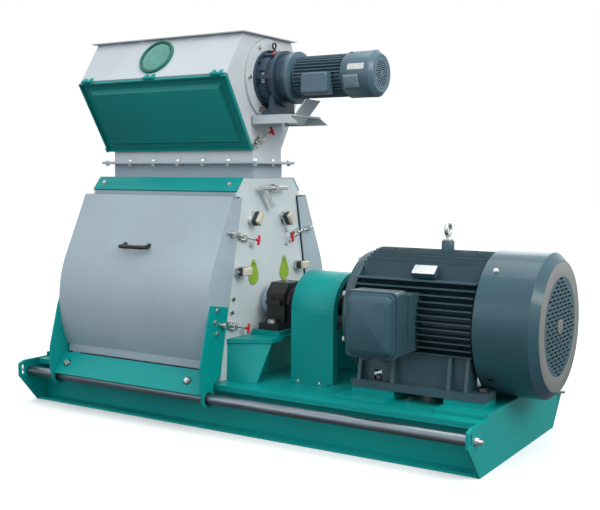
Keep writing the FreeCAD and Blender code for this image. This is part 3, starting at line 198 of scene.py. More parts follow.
def moulded(name, colour, roughness):
    """Moulded plastic or rubber with a fine skin."""
    shader = Shader(name)
    shader.colour(shader.shade(shader.noise(30.0, detail=3.0), colour, dark=0.85, light=1.10))
    shader.rough(shader.noise(80.0, detail=4.0), roughness, less=0.05, more=0.10)
    shader.bump(shader.noise(900.0, detail=2.0), strength=0.08, distance=0.0003)
    return shader.material


def pane_glass(name, colour):
    """Dark glass with a faint haze. Nothing is seen through it."""
    shader = Shader(name)
    haze = shader.noise(26.0, detail=5.0)
    shader.colour(shader.shade(haze, colour, dark=0.8, light=1.1))
    shader.rough(haze, 0.10, less=0.04, more=0.06)
    shader.set(Coat_Weight=0.6, Coat_Roughness=0.05)
    return shader.material


teal = paint("teal_paint", (0.001, 0.290, 0.272))
# Teal paint darkened as painted shade, for the feeder cover's downward-facing slope.
teal_painted_shade = paint("cover_teal_paint", (0.008, 0.235, 0.222), roughness=0.34)
# Pale paint darkened as painted shade, for the door shells, inlet hood and body panels.
pale = paint("pale_paint", (0.36, 0.43, 0.48), roughness=0.30, coat=0.4)
# The same pale paint made lighter as painted light: for the feeder housing, reducer bracket and side plates,
# which face up or towards the key lamp.
feeder_pale_painted_light = paint("feeder_pale_paint", (0.55, 0.58, 0.61), roughness=0.32, coat=0.3)
side_pale_painted_light = paint("side_pale_paint", (0.58, 0.64, 0.66), roughness=0.36)
motor_grey = cast_paint("motor_paint", (0.034, 0.078, 0.100))
motor_sheet = paint("cowl_paint", (0.032, 0.084, 0.110), roughness=0.34, coat=0.35)
small_motor = paint("small_motor_paint", (0.085, 0.150, 0.190), roughness=0.34, coat=0.3)
duct_grey = paint("duct_paint", (0.20, 0.27, 0.31), roughness=0.34, coat=0.3)
ring_grey = paint("cowl_ring_paint", (0.22, 0.22, 0.21), roughness=0.40)
navy = cast_paint("navy_paint", (0.022, 0.050, 0.085))
black_iron = cast_paint("black_iron", (0.012, 0.012, 0.013), roughness=0.38)
olive = paint("olive_paint", (0.26, 0.42, 0.03), roughness=0.34)
window_teal = paint("window_ring_paint", (0.010, 0.150, 0.100), roughness=0.32)
rail_steel = metal("ground_steel", (0.24, 0.27, 0.30), roughness=0.33, scale=160.0, stain=0.15,
                   stretch=(0.04, 1, 1))
zinc = metal("zinc_plate", (0.66, 0.66, 0.64), roughness=0.34, scale=60.0, stain=0.08)
rotor_steel = metal("rotor_steel", (0.34, 0.33, 0.32), roughness=0.38, scale=60.0, stain=0.35)
# Blackened steel for the dark washers and bolts. On the door sleeves it is also painted shade for the dark
# gap round the rails.
dark_steel = metal("blackened_steel", (0.07, 0.07, 0.07), roughness=0.40, scale=60.0, stain=0.1)
coupling_iron = metal("coupling_iron", (0.20, 0.20, 0.20), roughness=0.42, scale=70.0, stain=0.3)
core_steel = metal("laminated_core", (0.30, 0.27, 0.24), roughness=0.45, scale=60.0, stain=0.3,
                   stretch=(12, 1, 1))
grip_red = moulded("red_grip", (0.62, 0.012, 0.02), roughness=0.30)
black_rubber = moulded("black_rubber", (0.012, 0.012, 0.012), roughness=0.55)
black_handle = moulded("black_handle", (0.010, 0.010, 0.010), roughness=0.30)
switch_black = moulded("switch_body", (0.020, 0.032, 0.040), roughness=0.42)
cream = moulded("switch_cover", (0.62, 0.57, 0.45), roughness=0.40)
cap_red = moulded("filler_red", (0.60, 0.03, 0.015), roughness=0.35)
white_label = moulded("white_label", (0.66, 0.66, 0.64), roughness=0.40)
seal_blue = paint("seal_ring", (0.42, 0.55, 0.64), roughness=0.30, coat=0.4)
plate_metal = metal("rating_plate", (0.72, 0.74, 0.78), roughness=0.30, scale=40.0, stain=0.05,
                    stretch=(1, 14, 14))
pane = pane_glass("pane", (0.045, 0.26, 0.20))

looks = {
    teal: "base_beams base_deck base_end_plates bearing_stands front_door_frame rear_door_frame "
          "shoulder_bars coupling_guard cover_hinges",
    # Painted shade: the feeder cover gets the darkened teal.
    teal_painted_shade: "feeder_cover",
    # Painted shade: the darkened pale on the door shells, hood and panels.
    pale: "front_door_shell rear_door_shell inlet_hood body_panels",
    # Painted light: lighter copies of the pale for the feeder, its bracket and the side plates.
    feeder_pale_painted_light: "feeder_housing reducer_bracket",
    side_pale_painted_light: "left_side_plate right_side_plate",
    window_teal: "feeder_window_ring",
    pane: "feeder_window_pane",
    motor_grey: "motor_frame motor_end_shields motor_terminal_box",
    motor_sheet: "motor_fan_cowl",
    navy: "feeder_reducer",
    small_motor: "feeder_motor_frame feeder_motor_cowl",
    black_iron: "bearing_housing_feet bearing_housing_caps",
    olive: "front_pin_cover rear_pin_cover",
    rail_steel: "guide_rails mill_shaft",
    zinc: "frame_fasteners clamp_bases limit_switches bearings guide_plate cover_magnets",
    rotor_steel: "rotor_discs_and_pins hammers_row_1 hammers_row_2 hammers_row_3 hammers_row_4 "
                 "screens_and_tooth_plate feed_roll",
    # The door sleeves are made dark as painted shade for the gap round the rails.
    dark_steel: "front_door_fittings rear_door_fittings front_door_sleeves rear_door_sleeves",
    coupling_iron: "mill_coupling_half motor_coupling_half",
    core_steel: "motor_rotor stators feeder_motor_rotor",
    grip_red: "clamp_lever_front_upper clamp_lever_front_lower clamp_lever_rear_upper "
              "clamp_lever_rear_lower clamp_lever_feeder",
}


def round_edges(obj, width):
    bevel = obj.modifiers.new("edges", "BEVEL")
    bevel.width = width
    bevel.segments = 2
    bevel.limit_method = "ANGLE"
    bevel.angle_limit = math.radians(BEVEL_ANGLE)
    return bevel


def dress(node, material, edge):
    """Give a CAD node its finish and, unless edge is 0, round its sharp edges a little."""
    obj = nodes[node]
    for slot in obj.material_slots:
        slot.link = "OBJECT"
        slot.material = material
    if edge:
        weld = obj.modifiers.new("weld", "WELD")
        weld.merge_threshold = WELD_GAP
        round_edges(obj, edge).harden_normals = True


for material, names in looks.items():
    for name in names.split():
        # A bevel leaves streaks beside the drilled holes of these thin sheets.
        sheet = name.endswith(("fan_cowl", "door_shell"))
        dress(name, material, 0.0 if sheet else CAD_EDGE)


# ------------------------------------------------------------------ mesh tools
def box(node):
    """The low and high corner of a CAD node, and its middle."""
    low, high = (Vector(corner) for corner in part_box(node))
    return low, high, (low + high) / 2


def tilted(degrees):
    """Directions square to X: one leans from up towards the front, the other is a quarter turn behind."""
    a = math.radians(degrees)
    return Vector((0, -math.sin(a), math.cos(a))), Vector((0, math.cos(a), math.sin(a)))


def islands(node):
    """A CAD node's mesh, and its separate solids: the box and the vertex numbers of each."""
    mesh = bmesh.new()
    mesh.from_mesh(nodes[node].data)
    bmesh.ops.remove_doubles(mesh, verts=mesh.verts, dist=ISLAND_GAP)
    mesh.verts.ensure_lookup_table()
    seen = set()
    found = []
    for start in mesh.verts:
        if start.index in seen:
            continue
        group = [start]
        seen.add(start.index)
        for vert in group:
            for edge in vert.link_edges:
                other = edge.other_vert(vert)
                if other.index not in seen:
                    seen.add(other.index)
                    group.append(other)
        places = [v.co.copy() for v in group]
        low = Vector([min(p[i] for p in places) for i in range(3)])
        high = Vector([max(p[i] for p in places) for i in range(3)])
        found.append({"low": low, "high": high, "mid": (low + high) / 2, "size": high - low,
                      "keys": {v.index for v in group}})
    return mesh, found


def finished(name, mesh, material, body, edge=0.0):
    """Turn a bmesh into a piece that rides on a body."""
    bmesh.ops.recalc_face_normals(mesh, faces=mesh.faces)
    data = bpy.data.meshes.new(name)
    mesh.to_mesh(data)
    mesh.free()
    data.materials.append(material)
    data.shade_smooth()
    data.set_sharp_from_angle(angle=math.radians(SMOOTH_ANGLE))
    piece = bpy.data.objects.new(name, data)
    bpy.context.collection.objects.link(piece)
    if edge:
        round_edges(piece, edge)
    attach(piece, body)
    return piece


def lift(node, name, wanted, material, body, edge=CAD_EDGE):
    """Copy the wanted solids of a CAD node into one piece with its own finish."""
    mesh, found = islands(node)
    keep = set()
    for island in found:
        if wanted(island):
            keep |= island["keys"]
    bmesh.ops.delete(mesh, geom=[v for v in mesh.verts if v.index not in keep], context="VERTS")
    piece = finished(name, mesh, material, body, edge)
    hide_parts(node)


def frame_of(axis):
    """The axis at length one, and two directions square to it."""
    axis = Vector(axis).normalized()
    helper = Z if abs(axis.z) < 0.9 else X
    side = axis.cross(helper).normalized()
    return axis, side, axis.cross(side)


def ring_of_points(mesh, centre, side, up, radius, steps):
    angles = [2 * math.pi * k / steps for k in range(steps)]
    return [mesh.verts.new(centre + radius * (math.cos(a) * side + math.sin(a) * up)) for a in angles]


def join_rings(mesh, rings):
    """Walls between rings of as many points each, and a cap at each end."""
    count = len(rings[0])
    for one, two in zip(rings, rings[1:]):
        for n in range(count):
            m = (n + 1) % count
            mesh.faces.new([one[n], one[m], two[m], two[n]])
    mesh.faces.new(rings[0][::-1])
    mesh.faces.new(rings[-1])


def lathe(mesh, profile, origin, axis, steps):
    """Turn a profile round an axis. A zero radius closes an end."""
    axis, side, up = frame_of(axis)
    origin = Vector(origin)
    rings = []
    for distance, radius in profile:
        centre = origin + axis * distance
        if radius == 0:
            rings.append([mesh.verts.new(centre)])
        else:
            rings.append(ring_of_points(mesh, centre, side, up, radius, steps))
    for one, two in zip(rings, rings[1:]):
        for k in range(steps):
            n = (k + 1) % steps
            corners = [one[k % len(one)], one[n % len(one)], two[n % len(two)], two[k % len(two)]]
            corners = list(dict.fromkeys(corners))
            if len(corners) > 2:
                mesh.faces.new(corners)


def ring_lathe(mesh, profile, origin, axis, steps=96):
    """A closed profile turned round an axis, such as a gasket or flange ring."""
    lathe(mesh, profile + profile[:1], origin, axis, steps)
    bmesh.ops.remove_doubles(mesh, verts=mesh.verts, dist=SEAM_GAP)


def pin(mesh, middle, half_length, end_radius, taper_from, radius):
    """A pin along Z about its middle, tapering to each end."""
    half = [(half_length, 0), (half_length, end_radius), (taper_from, radius)]
    lathe(mesh, [(-distance, r) for distance, r in half] + half[::-1], middle, Z, steps=20)


def rounded_path(corners, radius, steps):
    """Corners joined by straights, each bend rounded off."""
    corners = [Vector(c) for c in corners]
    most = 0.49
    path = [corners[0]]
    for before, here, after in zip(corners, corners[1:], corners[2:]):
        into = (before - here).normalized()
        out = (after - here).normalized()
        half = into.angle(out) / 2
        straights = ((before - here).length * most, (after - here).length * most)
        setback = min(radius / math.tan(half), *straights)
        start = here + into * setback
        end = here + out * setback
        for k in range(steps + 1):
            t = k / steps
            path.append((1 - t) ** 2 * start + 2 * t * (1 - t) * here + t * t * end)
    path.append(corners[-1])
    return path


def sweep(mesh, path, radius, sides=16):
    """A round bar along a path, closed at both ends."""
    rings = []
    side = None
    for k, point in enumerate(path):
        ahead = path[min(k + 1, len(path) - 1)] - path[max(k - 1, 0)]
        along = ahead.normalized()
        if side is None:
            side = frame_of(along)[1]
        side = (side - along * side.dot(along)).normalized()
        rings.append(ring_of_points(mesh, point, side, along.cross(side), radius, sides))
    join_rings(mesh, rings)


def slab(mesh, outline, thickness):
    """A flat plate: outline points in space, thickness as a vector."""
    near = [mesh.verts.new(Vector(p)) for p in outline]
    far = [mesh.verts.new(Vector(p) + Vector(thickness)) for p in outline]
    join_rings(mesh, [near, far])


def round_corners(width, height, radius, steps=6):
    """Outline of a rounded rectangle about zero, as (u, v) pairs."""
    points = []
    for across, along, start in ((1, 1, 0), (-1, 1, 90), (-1, -1, 180), (1, -1, 270)):
        for k in range(steps + 1):
            a = math.radians(start + 90 * k / steps)
            points.append((across * (width / 2 - radius) + radius * math.cos(a),
                           along * (height / 2 - radius) + radius * math.sin(a)))
    return points


def pad(mesh, centre, u, v, out, width, height, radius, thickness):
    """A rounded plate lying in the plane of u and v."""
    outline = [centre + u * a + v * b for a, b in round_corners(width, height, radius)]
    slab(mesh, outline, out * thickness)


def loft(mesh, centre, u, v, out, levels):
    """Rounded rectangles stacked along out: levels hold height, width, length and corner radius."""
    rings = []
    for height, width, length, radius in levels:
        rings.append([mesh.verts.new(centre + out * height + u * a + v * b)
                      for a, b in round_corners(width, length, radius)])
    join_rings(mesh, rings)


def screw_head(mesh, place, out, radius, height):
    """A domed screw or rivet head."""
    dome = [(0, radius), (height * 0.45, radius * 0.98), (height * 0.8, radius * 0.72),
            (height, radius * 0.35), (height, 0)]
    lathe(mesh, dome, place, out, steps=16)


def hex_bolt(mesh, place, out, size, washer=True):
    """A hexagon head with a chamfered top on a washer. Size is the washer's radius."""
    axis, side, up = frame_of(out)
    start = Vector(place)
    if washer:
        thick = 0.16 * size
        disc = [(0, 0), (0, size), (0.13 * size, size), (thick, 0.94 * size), (thick, 0)]
        lathe(mesh, disc, start, axis, steps=28)
        start = start + axis * thick
    corner_radius = 0.92 * size
    chamfer_at = 0.50 * size
    head_high = 0.62 * size
    levels = ((0.0, corner_radius), (chamfer_at, corner_radius), (head_high, 0.86 * corner_radius))
    join_rings(mesh, [ring_of_points(mesh, start + axis * height, side, up, radius, 6)
                      for height, radius in levels])


def broad_normal(node):
    """Outward normal of a flat node's largest face that looks to the front."""
    totals = {}
    for face in nodes[node].data.polygons:
        key = tuple(round(c, 2) for c in face.normal)
        if face.normal.y < -0.1:
            totals[key] = totals.get(key, 0.0) + face.area
    return Vector(max(totals, key=totals.get)).normalized()


# ------------------------------------------------------------------ doors
def is_bow(island):
    """The handle: high up and long."""
    return island["mid"].z > 0.8 and island["size"].x > 0.12


def is_keeper(island):
    """A clamp keeper: at the motor end and deep."""
    return island["mid"].x > -0.14 and island["size"].y > 0.07


def is_leg_bolt(island):
    """A bolt on a leg: above the bar and small both ways."""
    return island["mid"].z > 0.45 and island["size"].y < 0.04 and island["size"].z < 0.04


def is_bar_bolt(island):
    return island["mid"].z < 0.32


def make_handle(word, side, bow):
    """A bow of round bar with a collar at each foot."""
    grip_radius = 0.0105
    bend_radius = 0.026
    grip_sunk = 0.004
    collar_sunk = 0.012
    collar = [(0, 0), (0, 0.019), (0.012, 0.019), (0.016, 0.016), (0.018, grip_radius), (0.018, 0)]
    wall = bow["high"].y if side < 0 else bow["low"].y
    root = wall - side * grip_sunk
    tip = wall + side * (bow["size"].y - grip_radius)
    left = bow["low"].x + grip_radius
    right = bow["high"].x - grip_radius
    z = bow["mid"].z
    handle = bmesh.new()
    corners = [(left, root, z), (left, tip, z), (right, tip, z), (right, root, z)]
    sweep(handle, rounded_path(corners, bend_radius, steps=10), grip_radius, sides=20)
    for x in (left, right):
        lathe(handle, collar, (x, wall - side * collar_sunk, z), (0, side, 0), steps=28)
    piece = finished(word + "_door_handle", handle, black_handle, word + "_door")
    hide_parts(word + "_door_fittings")


def make_bar_bolts(word, side, places):
    """A dark washer under a plated bolt at each place, square to the door's slanting bottom bar."""
    normal = broad_normal("front_door_frame")
    out = Vector((0, normal.y * -side, normal.z))
    sunk = 0.012
    disc_radius = 0.021
    disc_thick = 0.005
    disc = [(0, 0), (0, disc_radius), (0.004, disc_radius), (disc_thick, 0.019), (disc_thick, 0)]
    washers = bmesh.new()
    bolts = bmesh.new()
    for place in places:
        seat = place - out * sunk
        lathe(washers, disc, seat, out, steps=28)
        hex_bolt(bolts, seat + out * disc_thick, out, size=0.0155)
    finished(word + "_bar_washers", washers, dark_steel, word + "_door", BOLT_EDGE)
    finished(word + "_bar_bolts", bolts, zinc, word + "_door", BOLT_EDGE)


def make_door_trim(word, side):
    """Bow handle, clamp keepers, leg bolts and bar bolts of one door."""
    node = word + "_door_fittings"
    body = word + "_door"
    found = islands(node)[1]
    make_handle(word, side, max(filter(is_bow, found), key=lambda i: i["size"].x))
    lift(node, word + "_clamp_keepers", is_keeper, zinc, body)
    lift(node, word + "_leg_bolts", is_leg_bolt, zinc, body)
    make_bar_bolts(word, side, [i["mid"] for i in found if is_bar_bolt(i)])


# ------------------------------------------------------------------ toggle clamps
def clamp_frame(joint):
    """Matrix from a clamp's own axes: x out of the plate, y towards the grip, z along the pivot."""
    turn = Vector(joint["axis"]).normalized()
    rear = turn.z > 0.5
    up = turn if rear else -turn
    along = X.cross(up) if rear else up.cross(X)
    matrix = Matrix((X, along, up)).transposed().to_4x4()
    matrix.translation = Vector(joint["pos_m"])
    return matrix


def placed(mesh, matrix):
    bmesh.ops.transform(mesh, matrix=matrix, verts=mesh.verts)
    return mesh


def make_clamp_lever(node, body, matrix):
    """Twin link plates with a round arm, and a red T grip. Own axes start at the pivot."""
    lean = Vector((0.32, 1, 0)).normalized()
    link_thick = 0.003
    link = [(-0.004, -0.012), (0.006, -0.010), (0.009, 0.010), (0.006, 0.024),
            (-0.004, 0.026), (-0.008, 0.012), (-0.009, -0.004)]
    arm = bmesh.new()
    for z in (-0.0075, 0.0045):
        slab(arm, [(x, y, z) for x, y in link], (0, 0, link_thick))
    for y in (-0.004, 0.016):
        pin(arm, (0, y, 0), half_length=0.011, end_radius=0.0045, taper_from=0.009, radius=0.0055)
    arm_root = Vector((0, 0.004, 0))
    arm_end = Vector((0, 0.010, 0)) + lean * 0.062
    sweep(arm, [arm_root, arm_end], radius=0.0046, sides=18)
    piece = finished(node + "_arm", placed(arm, matrix), zinc, body, FINE_EDGE)
    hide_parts(node)

    neck = [(0, 0.0046), (0.001, 0.0072), (0.010, 0.0066), (0.020, 0.0080), (0.026, 0.0060), (0.026, 0)]
    bar = [(-0.026, 0), (-0.026, 0.004), (-0.023, 0.0072), (-0.010, 0.0070), (0, 0.0082),
           (0.010, 0.0070), (0.023, 0.0072), (0.026, 0.004), (0.026, 0)]
    tip = Vector((0, 0.008, 0)) + lean * 0.060
    grip = bmesh.new()
    lathe(grip, neck, tip, lean, steps=24)
    lathe(grip, bar, tip + lean * 0.023, Z, steps=24)
    finished(node + "_grip", placed(grip, matrix), grip_red, body)


def make_clamp_base(name, matrix):
    """Base plate with screws, stamped ears, rivets, guide bush and draw rod with its nut and hook plate."""
    base = bmesh.new()
    plate = Vector((-0.0200, -0.006, 0))
    plate_thick = 0.004
    pad(base, plate, Y, Z, X, width=0.092, height=0.040, radius=0.005, thickness=plate_thick)
    for y in (-0.044, 0.032):
        for z in (-0.013, 0.013):
            screw_head(base, plate + Vector((plate_thick, y, z)), X, radius=0.0045, height=0.003)
    ear_thick = 0.004
    ear = [(-0.016, -0.030), (-0.016, 0.020), (0.004, 0.010), (0.010, 0.004),
           (0.010, -0.006), (0.002, -0.012), (-0.006, -0.028)]
    for z in (-0.0135, 0.0095):
        slab(base, [(x, y, z) for x, y in ear], (0, 0, ear_thick))
    for x, y in ((0.0, 0.0), (-0.008, -0.022)):
        pin(base, (x, y, 0), half_length=0.0165, end_radius=0.004, taper_from=0.015, radius=0.0055)
    rod_radius = 0.0052
    bush_bore = 0.0055
    bush_radius = 0.0095
    bush = [(-0.052, bush_bore), (-0.052, bush_radius), (-0.034, bush_radius), (-0.034, bush_bore)]
    lathe(base, bush, (0, 0, 0), Y, steps=24)
    sweep(base, [Vector((0, -0.056, 0)), Vector((0, -0.012, 0))], rod_radius)
    hex_bolt(base, (0, -0.030, 0), Y, size=0.0080, washer=False)
    pad(base, Vector((0, -0.054, 0)), X, Z, Y, width=0.013, height=0.024, radius=0.004, thickness=0.006)
    finished(name, placed(base, matrix), zinc, "machine", FINE_EDGE)


def make_clamps():
    first = None
    for joint in frame["record"]["behaviour"]["joints"]:
        if joint["name"].startswith("clamp_lever_"):
            node = joint["name"].replace("_swing", "")
            matrix = clamp_frame(joint)
            make_clamp_lever(node, joint["child"], matrix)
            make_clamp_base(node.replace("lever", "base"), matrix)
            first = first or bpy.data.objects[node.replace("lever", "base")]
    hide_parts("clamp_bases")


# ------------------------------------------------------------------ limit switches
def make_switch_bracket(number, centre, across, up):
    """Bright bracket with four screws, and the plunger with its roller."""
    face = 0.021
    bracket = bmesh.new()
    pad(bracket, centre, across, up, X, width=0.038, height=0.070, radius=0.004, thickness=face)
    pad(bracket, centre - up * 0.006, across, up, X, width=0.050, height=0.034, radius=0.003,
        thickness=0.005)
    for a, b in ((-0.012, -0.027), (0.012, -0.027), (-0.012, 0.027), (0.012, 0.027)):
        screw_head(bracket, centre + across * a + up * b + X * face, X, radius=0.0042, height=0.002)
    tip = centre + up * 0.034 + X * 0.033
    sweep(bracket, [tip, tip + up * 0.012], radius=0.0055, sides=14)
    roller = [(-0.004, 0), (-0.004, 0.0065), (0.004, 0.0065), (0.004, 0)]
    lathe(bracket, roller, tip + up * 0.010, X, steps=20)
    return finished("switch_bracket_%d" % number, bracket, zinc, "machine", 0.0008)


def make_switch_case(number, centre, across, up):
    """Dark body with a cable gland, and a pale cover with two screws."""
    wide, tall = 0.040, 0.066
    body = bmesh.new()
    loft(body, centre, across, up, X, [(0.020, 0.030, 0.056, 0.003), (0.023, wide, tall, 0.004),
                                       (0.047, wide, tall, 0.004), (0.050, 0.035, 0.061, 0.004)])
    gland = [(0.031, 0), (0.031, 0.010), (0.038, 0.010), (0.038, 0.007), (0.043, 0.007), (0.043, 0)]
    lathe(body, gland, centre + X * 0.035, -up, steps=20)
    finished("switch_body_%d" % number, body, switch_black, "machine", FINE_EDGE)
    cover = bmesh.new()
    loft(cover, centre, across, up, X, [(0.0495, wide, tall, 0.005), (0.060, wide, tall, 0.005),
                                        (0.066, 0.031, 0.058, 0.005)])
    finished("switch_cover_%d" % number, cover, cream, "machine", FINE_EDGE)
    screws = bmesh.new()
    for b in (-0.021, 0.021):
        screw_head(screws, centre + up * b + X * 0.0655, X, radius=0.0038, height=0.0015)
    finished("switch_screws_%d" % number, screws, zinc, "machine")


def make_switches():
    """The upper switches lean inwards, and the lower ones lie flat with their plunger outwards."""
    upper_lean = -38
    lower_lean = 90
    found = sorted(islands("limit_switches")[1], key=lambda i: (i["mid"].y, i["mid"].z))
    for number, island in enumerate(found):
        side = -1 if island["mid"].y < 0 else 1
        lean = upper_lean if island["mid"].z > 0.9 else lower_lean
        up, across = tilted(lean * -side)
        centre = Vector((island["low"].x, island["mid"].y, island["mid"].z)) - up * 0.006
        bracket = make_switch_bracket(number, centre, across, up)
        if number == 0:
            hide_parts("limit_switches")
        make_switch_case(number, centre, across, up)


# ------------------------------------------------------------------ feeder window
def make_window():
    """A rounded ring with a rubber seal round the pane."""
    out = broad_normal("feeder_window_pane")
    low, high, _ = box("feeder_window_ring")
    radius = (high.x - low.x) / 2
    seat = box("feeder_window_pane")[2] - out * 0.004
    ring = bmesh.new()
    profile = [(0.0, radius), (0.006, radius), (0.011, radius - 0.003), (0.013, radius - 0.007),
               (0.012, radius - 0.011), (0.008, radius - 0.0145), (0.0025, radius - 0.015),
               (0.0020, radius - 0.021), (0.0, radius - 0.021)]
    ring_lathe(ring, profile, seat, out)
    piece = finished("window_ring", ring, window_teal, "machine")
    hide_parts("feeder_window_ring")
    seal = bmesh.new()
    profile = [(0.0050, radius - 0.0150), (0.0080, radius - 0.0155),
               (0.0080, radius - 0.018), (0.0050, radius - 0.0190)]
    ring_lathe(seal, profile, seat, out)
    finished("window_seal", seal, black_rubber, "machine")
    glass = bmesh.new()
    profile = [(0.002, 0), (0.002, radius - 0.0155), (0.0056, radius - 0.0155),
               (0.0060, radius - 0.017), (0.0060, radius * 0.5), (0.0060, 0)]
    lathe(glass, profile, seat, out, steps=96)
    piece = finished("window_pane", glass, pane, "machine")
    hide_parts("feeder_window_pane")


# ------------------------------------------------------------------ motors
def make_terminal_box():
    """Cast box lifted from its node, with a chamfered blank lid and a gasket."""
    lid = min(islands("motor_terminal_box")[1], key=lambda i: i["low"].y)
    lift("motor_terminal_box", "terminal_case", lambda i: i["low"].y > lid["low"].y + 0.02,
         motor_grey, "machine", 0.002)
    wide, depth, tall = lid["size"]
    centre = Vector((lid["mid"].x, lid["high"].y, lid["mid"].z))
    # Each level: height, how much narrower than the lid, corner radius.
    lid_levels = ((0.0, 0.0, 0.030), (0.010, 0.0, 0.030), (0.012, 0.004, 0.028), (0.013, 0.020, 0.026),
                  (depth - 0.014, 0.026, 0.026), (depth - 0.001, 0.058, 0.022), (depth, 0.062, 0.020))
    cover = bmesh.new()
    loft(cover, centre, X, Z, -Y, [(h, wide - less, tall - less, r) for h, less, r in lid_levels])
    finished("terminal_lid", cover, motor_sheet, "machine", 0.0015)
    gasket_levels = ((-0.0015, 0.006, 0.028), (0.001, 0.006, 0.028))
    gasket = bmesh.new()
    loft(gasket, centre, X, Z, -Y, [(h, wide - less, tall - less, r) for h, less, r in gasket_levels])
    finished("terminal_gasket", gasket, black_rubber, "machine")


def blank_plate(name, centre, u, v, out, width, height, material):
    """A riveted plate with nothing on it."""
    thick = 0.0012
    margin = 0.006
    plate = bmesh.new()
    corner = min(width, height) * 0.12
    pad(plate, centre, u, v, out, width, height, corner, thick)
    for a in (-1, 1):
        for b in (-1, 1):
            spot = centre + u * a * (width / 2 - margin) + v * b * (height / 2 - margin)
            screw_head(plate, spot + out * thick, out, radius=0.0022, height=0.0012)
    finished(name, plate, material, "machine")


def make_motor_plate():
    """Rating plate leaning on the fins at the front shoulder of the big motor."""
    out, up = tilted(38)
    from_end = 0.355
    from_axis = 0.318
    lower = 0.016
    seat_deep = 0.030
    low = box("motor_frame")[0]
    axis_z = box("motor_fan_cowl")[2].z
    centre = Vector((low.x + from_end, 0, axis_z)) + out * from_axis - up * lower
    seat = bmesh.new()
    pad(seat, centre - out * seat_deep, X, up, out, width=0.118, height=0.060, radius=0.004,
        thickness=seat_deep)
    finished("rating_plate_seat", seat, motor_grey, "machine", 0.001)
    blank_plate("rating_plate", centre, X, up, out, width=0.112, height=0.056, material=plate_metal)


def make_cowl_ring():
    """The pale pressed ring round the slots on the big fan cowl's end, and the hub in their middle."""
    low, high, middle = box("motor_fan_cowl")
    radius = (high.z - low.z) / 2
    centre = Vector((high.x, middle.y, middle.z))
    ring = bmesh.new()
    ring_lathe(ring, [(-0.0010, radius - 0.106), (0.0012, radius - 0.105), (0.0012, radius - 0.040),
                      (-0.0010, radius - 0.037)], centre, X)
    finished("cowl_end_ring", ring, ring_grey, "machine")
    hub = bmesh.new()
    disc = [(-0.001, 0), (-0.001, 0.034), (0.002, 0.034), (0.003, 0.031), (0.003, 0)]
    lathe(hub, disc, centre, X, steps=48)
    for k in range(6):
        spoke = Vector((0, math.cos(math.pi * k / 3), math.sin(math.pi * k / 3)))
        root = centre + X * 0.002 + spoke * 0.016
        pad(hub, root, spoke, X.cross(spoke), X, width=0.024, height=0.006, radius=0.002, thickness=0.003)
    finished("cowl_hub", hub, ring_grey, "machine")


def make_gear_motor_trim():
    """A blank label, four cover screws and a raised duct on the small motor's cowl."""
    low, high, middle = box("feeder_motor_cowl")
    radius = (high.z - low.z) / 2
    skin = radius - 0.0006

    def on_cowl(from_end, out, distance):
        return Vector((low.x + from_end, 0, middle.z)) + out * distance

    out, up = tilted(76)
    blank_plate("small_label", on_cowl(0.076, out, skin), X, up, out, width=0.090, height=0.030,
                material=white_label)
    screws = bmesh.new()
    for angle in (25, 115, -65, -155):
        out = tilted(angle)[0]
        screw_head(screws, on_cowl(0.022, out, skin), out, radius=0.006, height=0.004)
    finished("small_cowl_screws", screws, dark_steel, "machine")
    out, up = tilted(112)
    duct = bmesh.new()
    loft(duct, on_cowl(0.048, out, radius - 0.006), X, up, out,
         [(0.0, 0.084, 0.066, 0.004), (0.012, 0.078, 0.060, 0.004), (0.016, 0.060, 0.044, 0.006)])
    finished("small_cowl_duct", duct, duct_grey, "machine", 0.001)


def make_reducer_trim():
    """Rings of bolts on the gear unit's flanges, a red filler cap and a blank label."""
    end = box("feeder_reducer")[0].x
    z = box("feeder_motor_cowl")[2].z
    bolts = bmesh.new()
    # Each ring: distance from the feeder end, way the heads look, radius, number of bolts.
    rings = ((0.014, 1, 0.140, 8), (0.092, -1, 0.133, 12), (0.152, -1, 0.124, 8))
    for start, way, radius, count in rings:
        for k in range(count):
            a = 2 * math.pi * (k + 0.25) / count
            place = Vector((end + start, radius * math.cos(a), z + radius * math.sin(a)))
            hex_bolt(bolts, place, X * way, size=0.009)
    finished("reducer_bolts", bolts, dark_steel, "machine", FINE_EDGE)
    out = tilted(30)[0]
    profile = [(0, 0), (0, 0.010), (0.006, 0.010), (0.008, 0.008), (0.012, 0.008), (0.015, 0.011),
               (0.021, 0.010), (0.023, 0.007), (0.023, 0)]
    cap = bmesh.new()
    lathe(cap, profile, Vector((end + 0.076, 0, z)) + out * 0.1225, out, steps=24)
    blank_plate("reducer_label", Vector((end + 0.039, -0.112, z)), X, Z, -Y, width=0.026, height=0.054,
                material=white_label)
    finished("filler_cap", cap, cap_red, "machine", BOLT_EDGE)


# ------------------------------------------------------------------ bearings and fasteners
def bearing_part(island):
    """Which part of the bearings node a solid is, from its place and size."""
    if island["mid"].x > 0.25:
        return "motor"
    if island["size"].z > 0.17:
        return "race"
    return "seal" if island["size"].x < 0.02 else "sleeve"


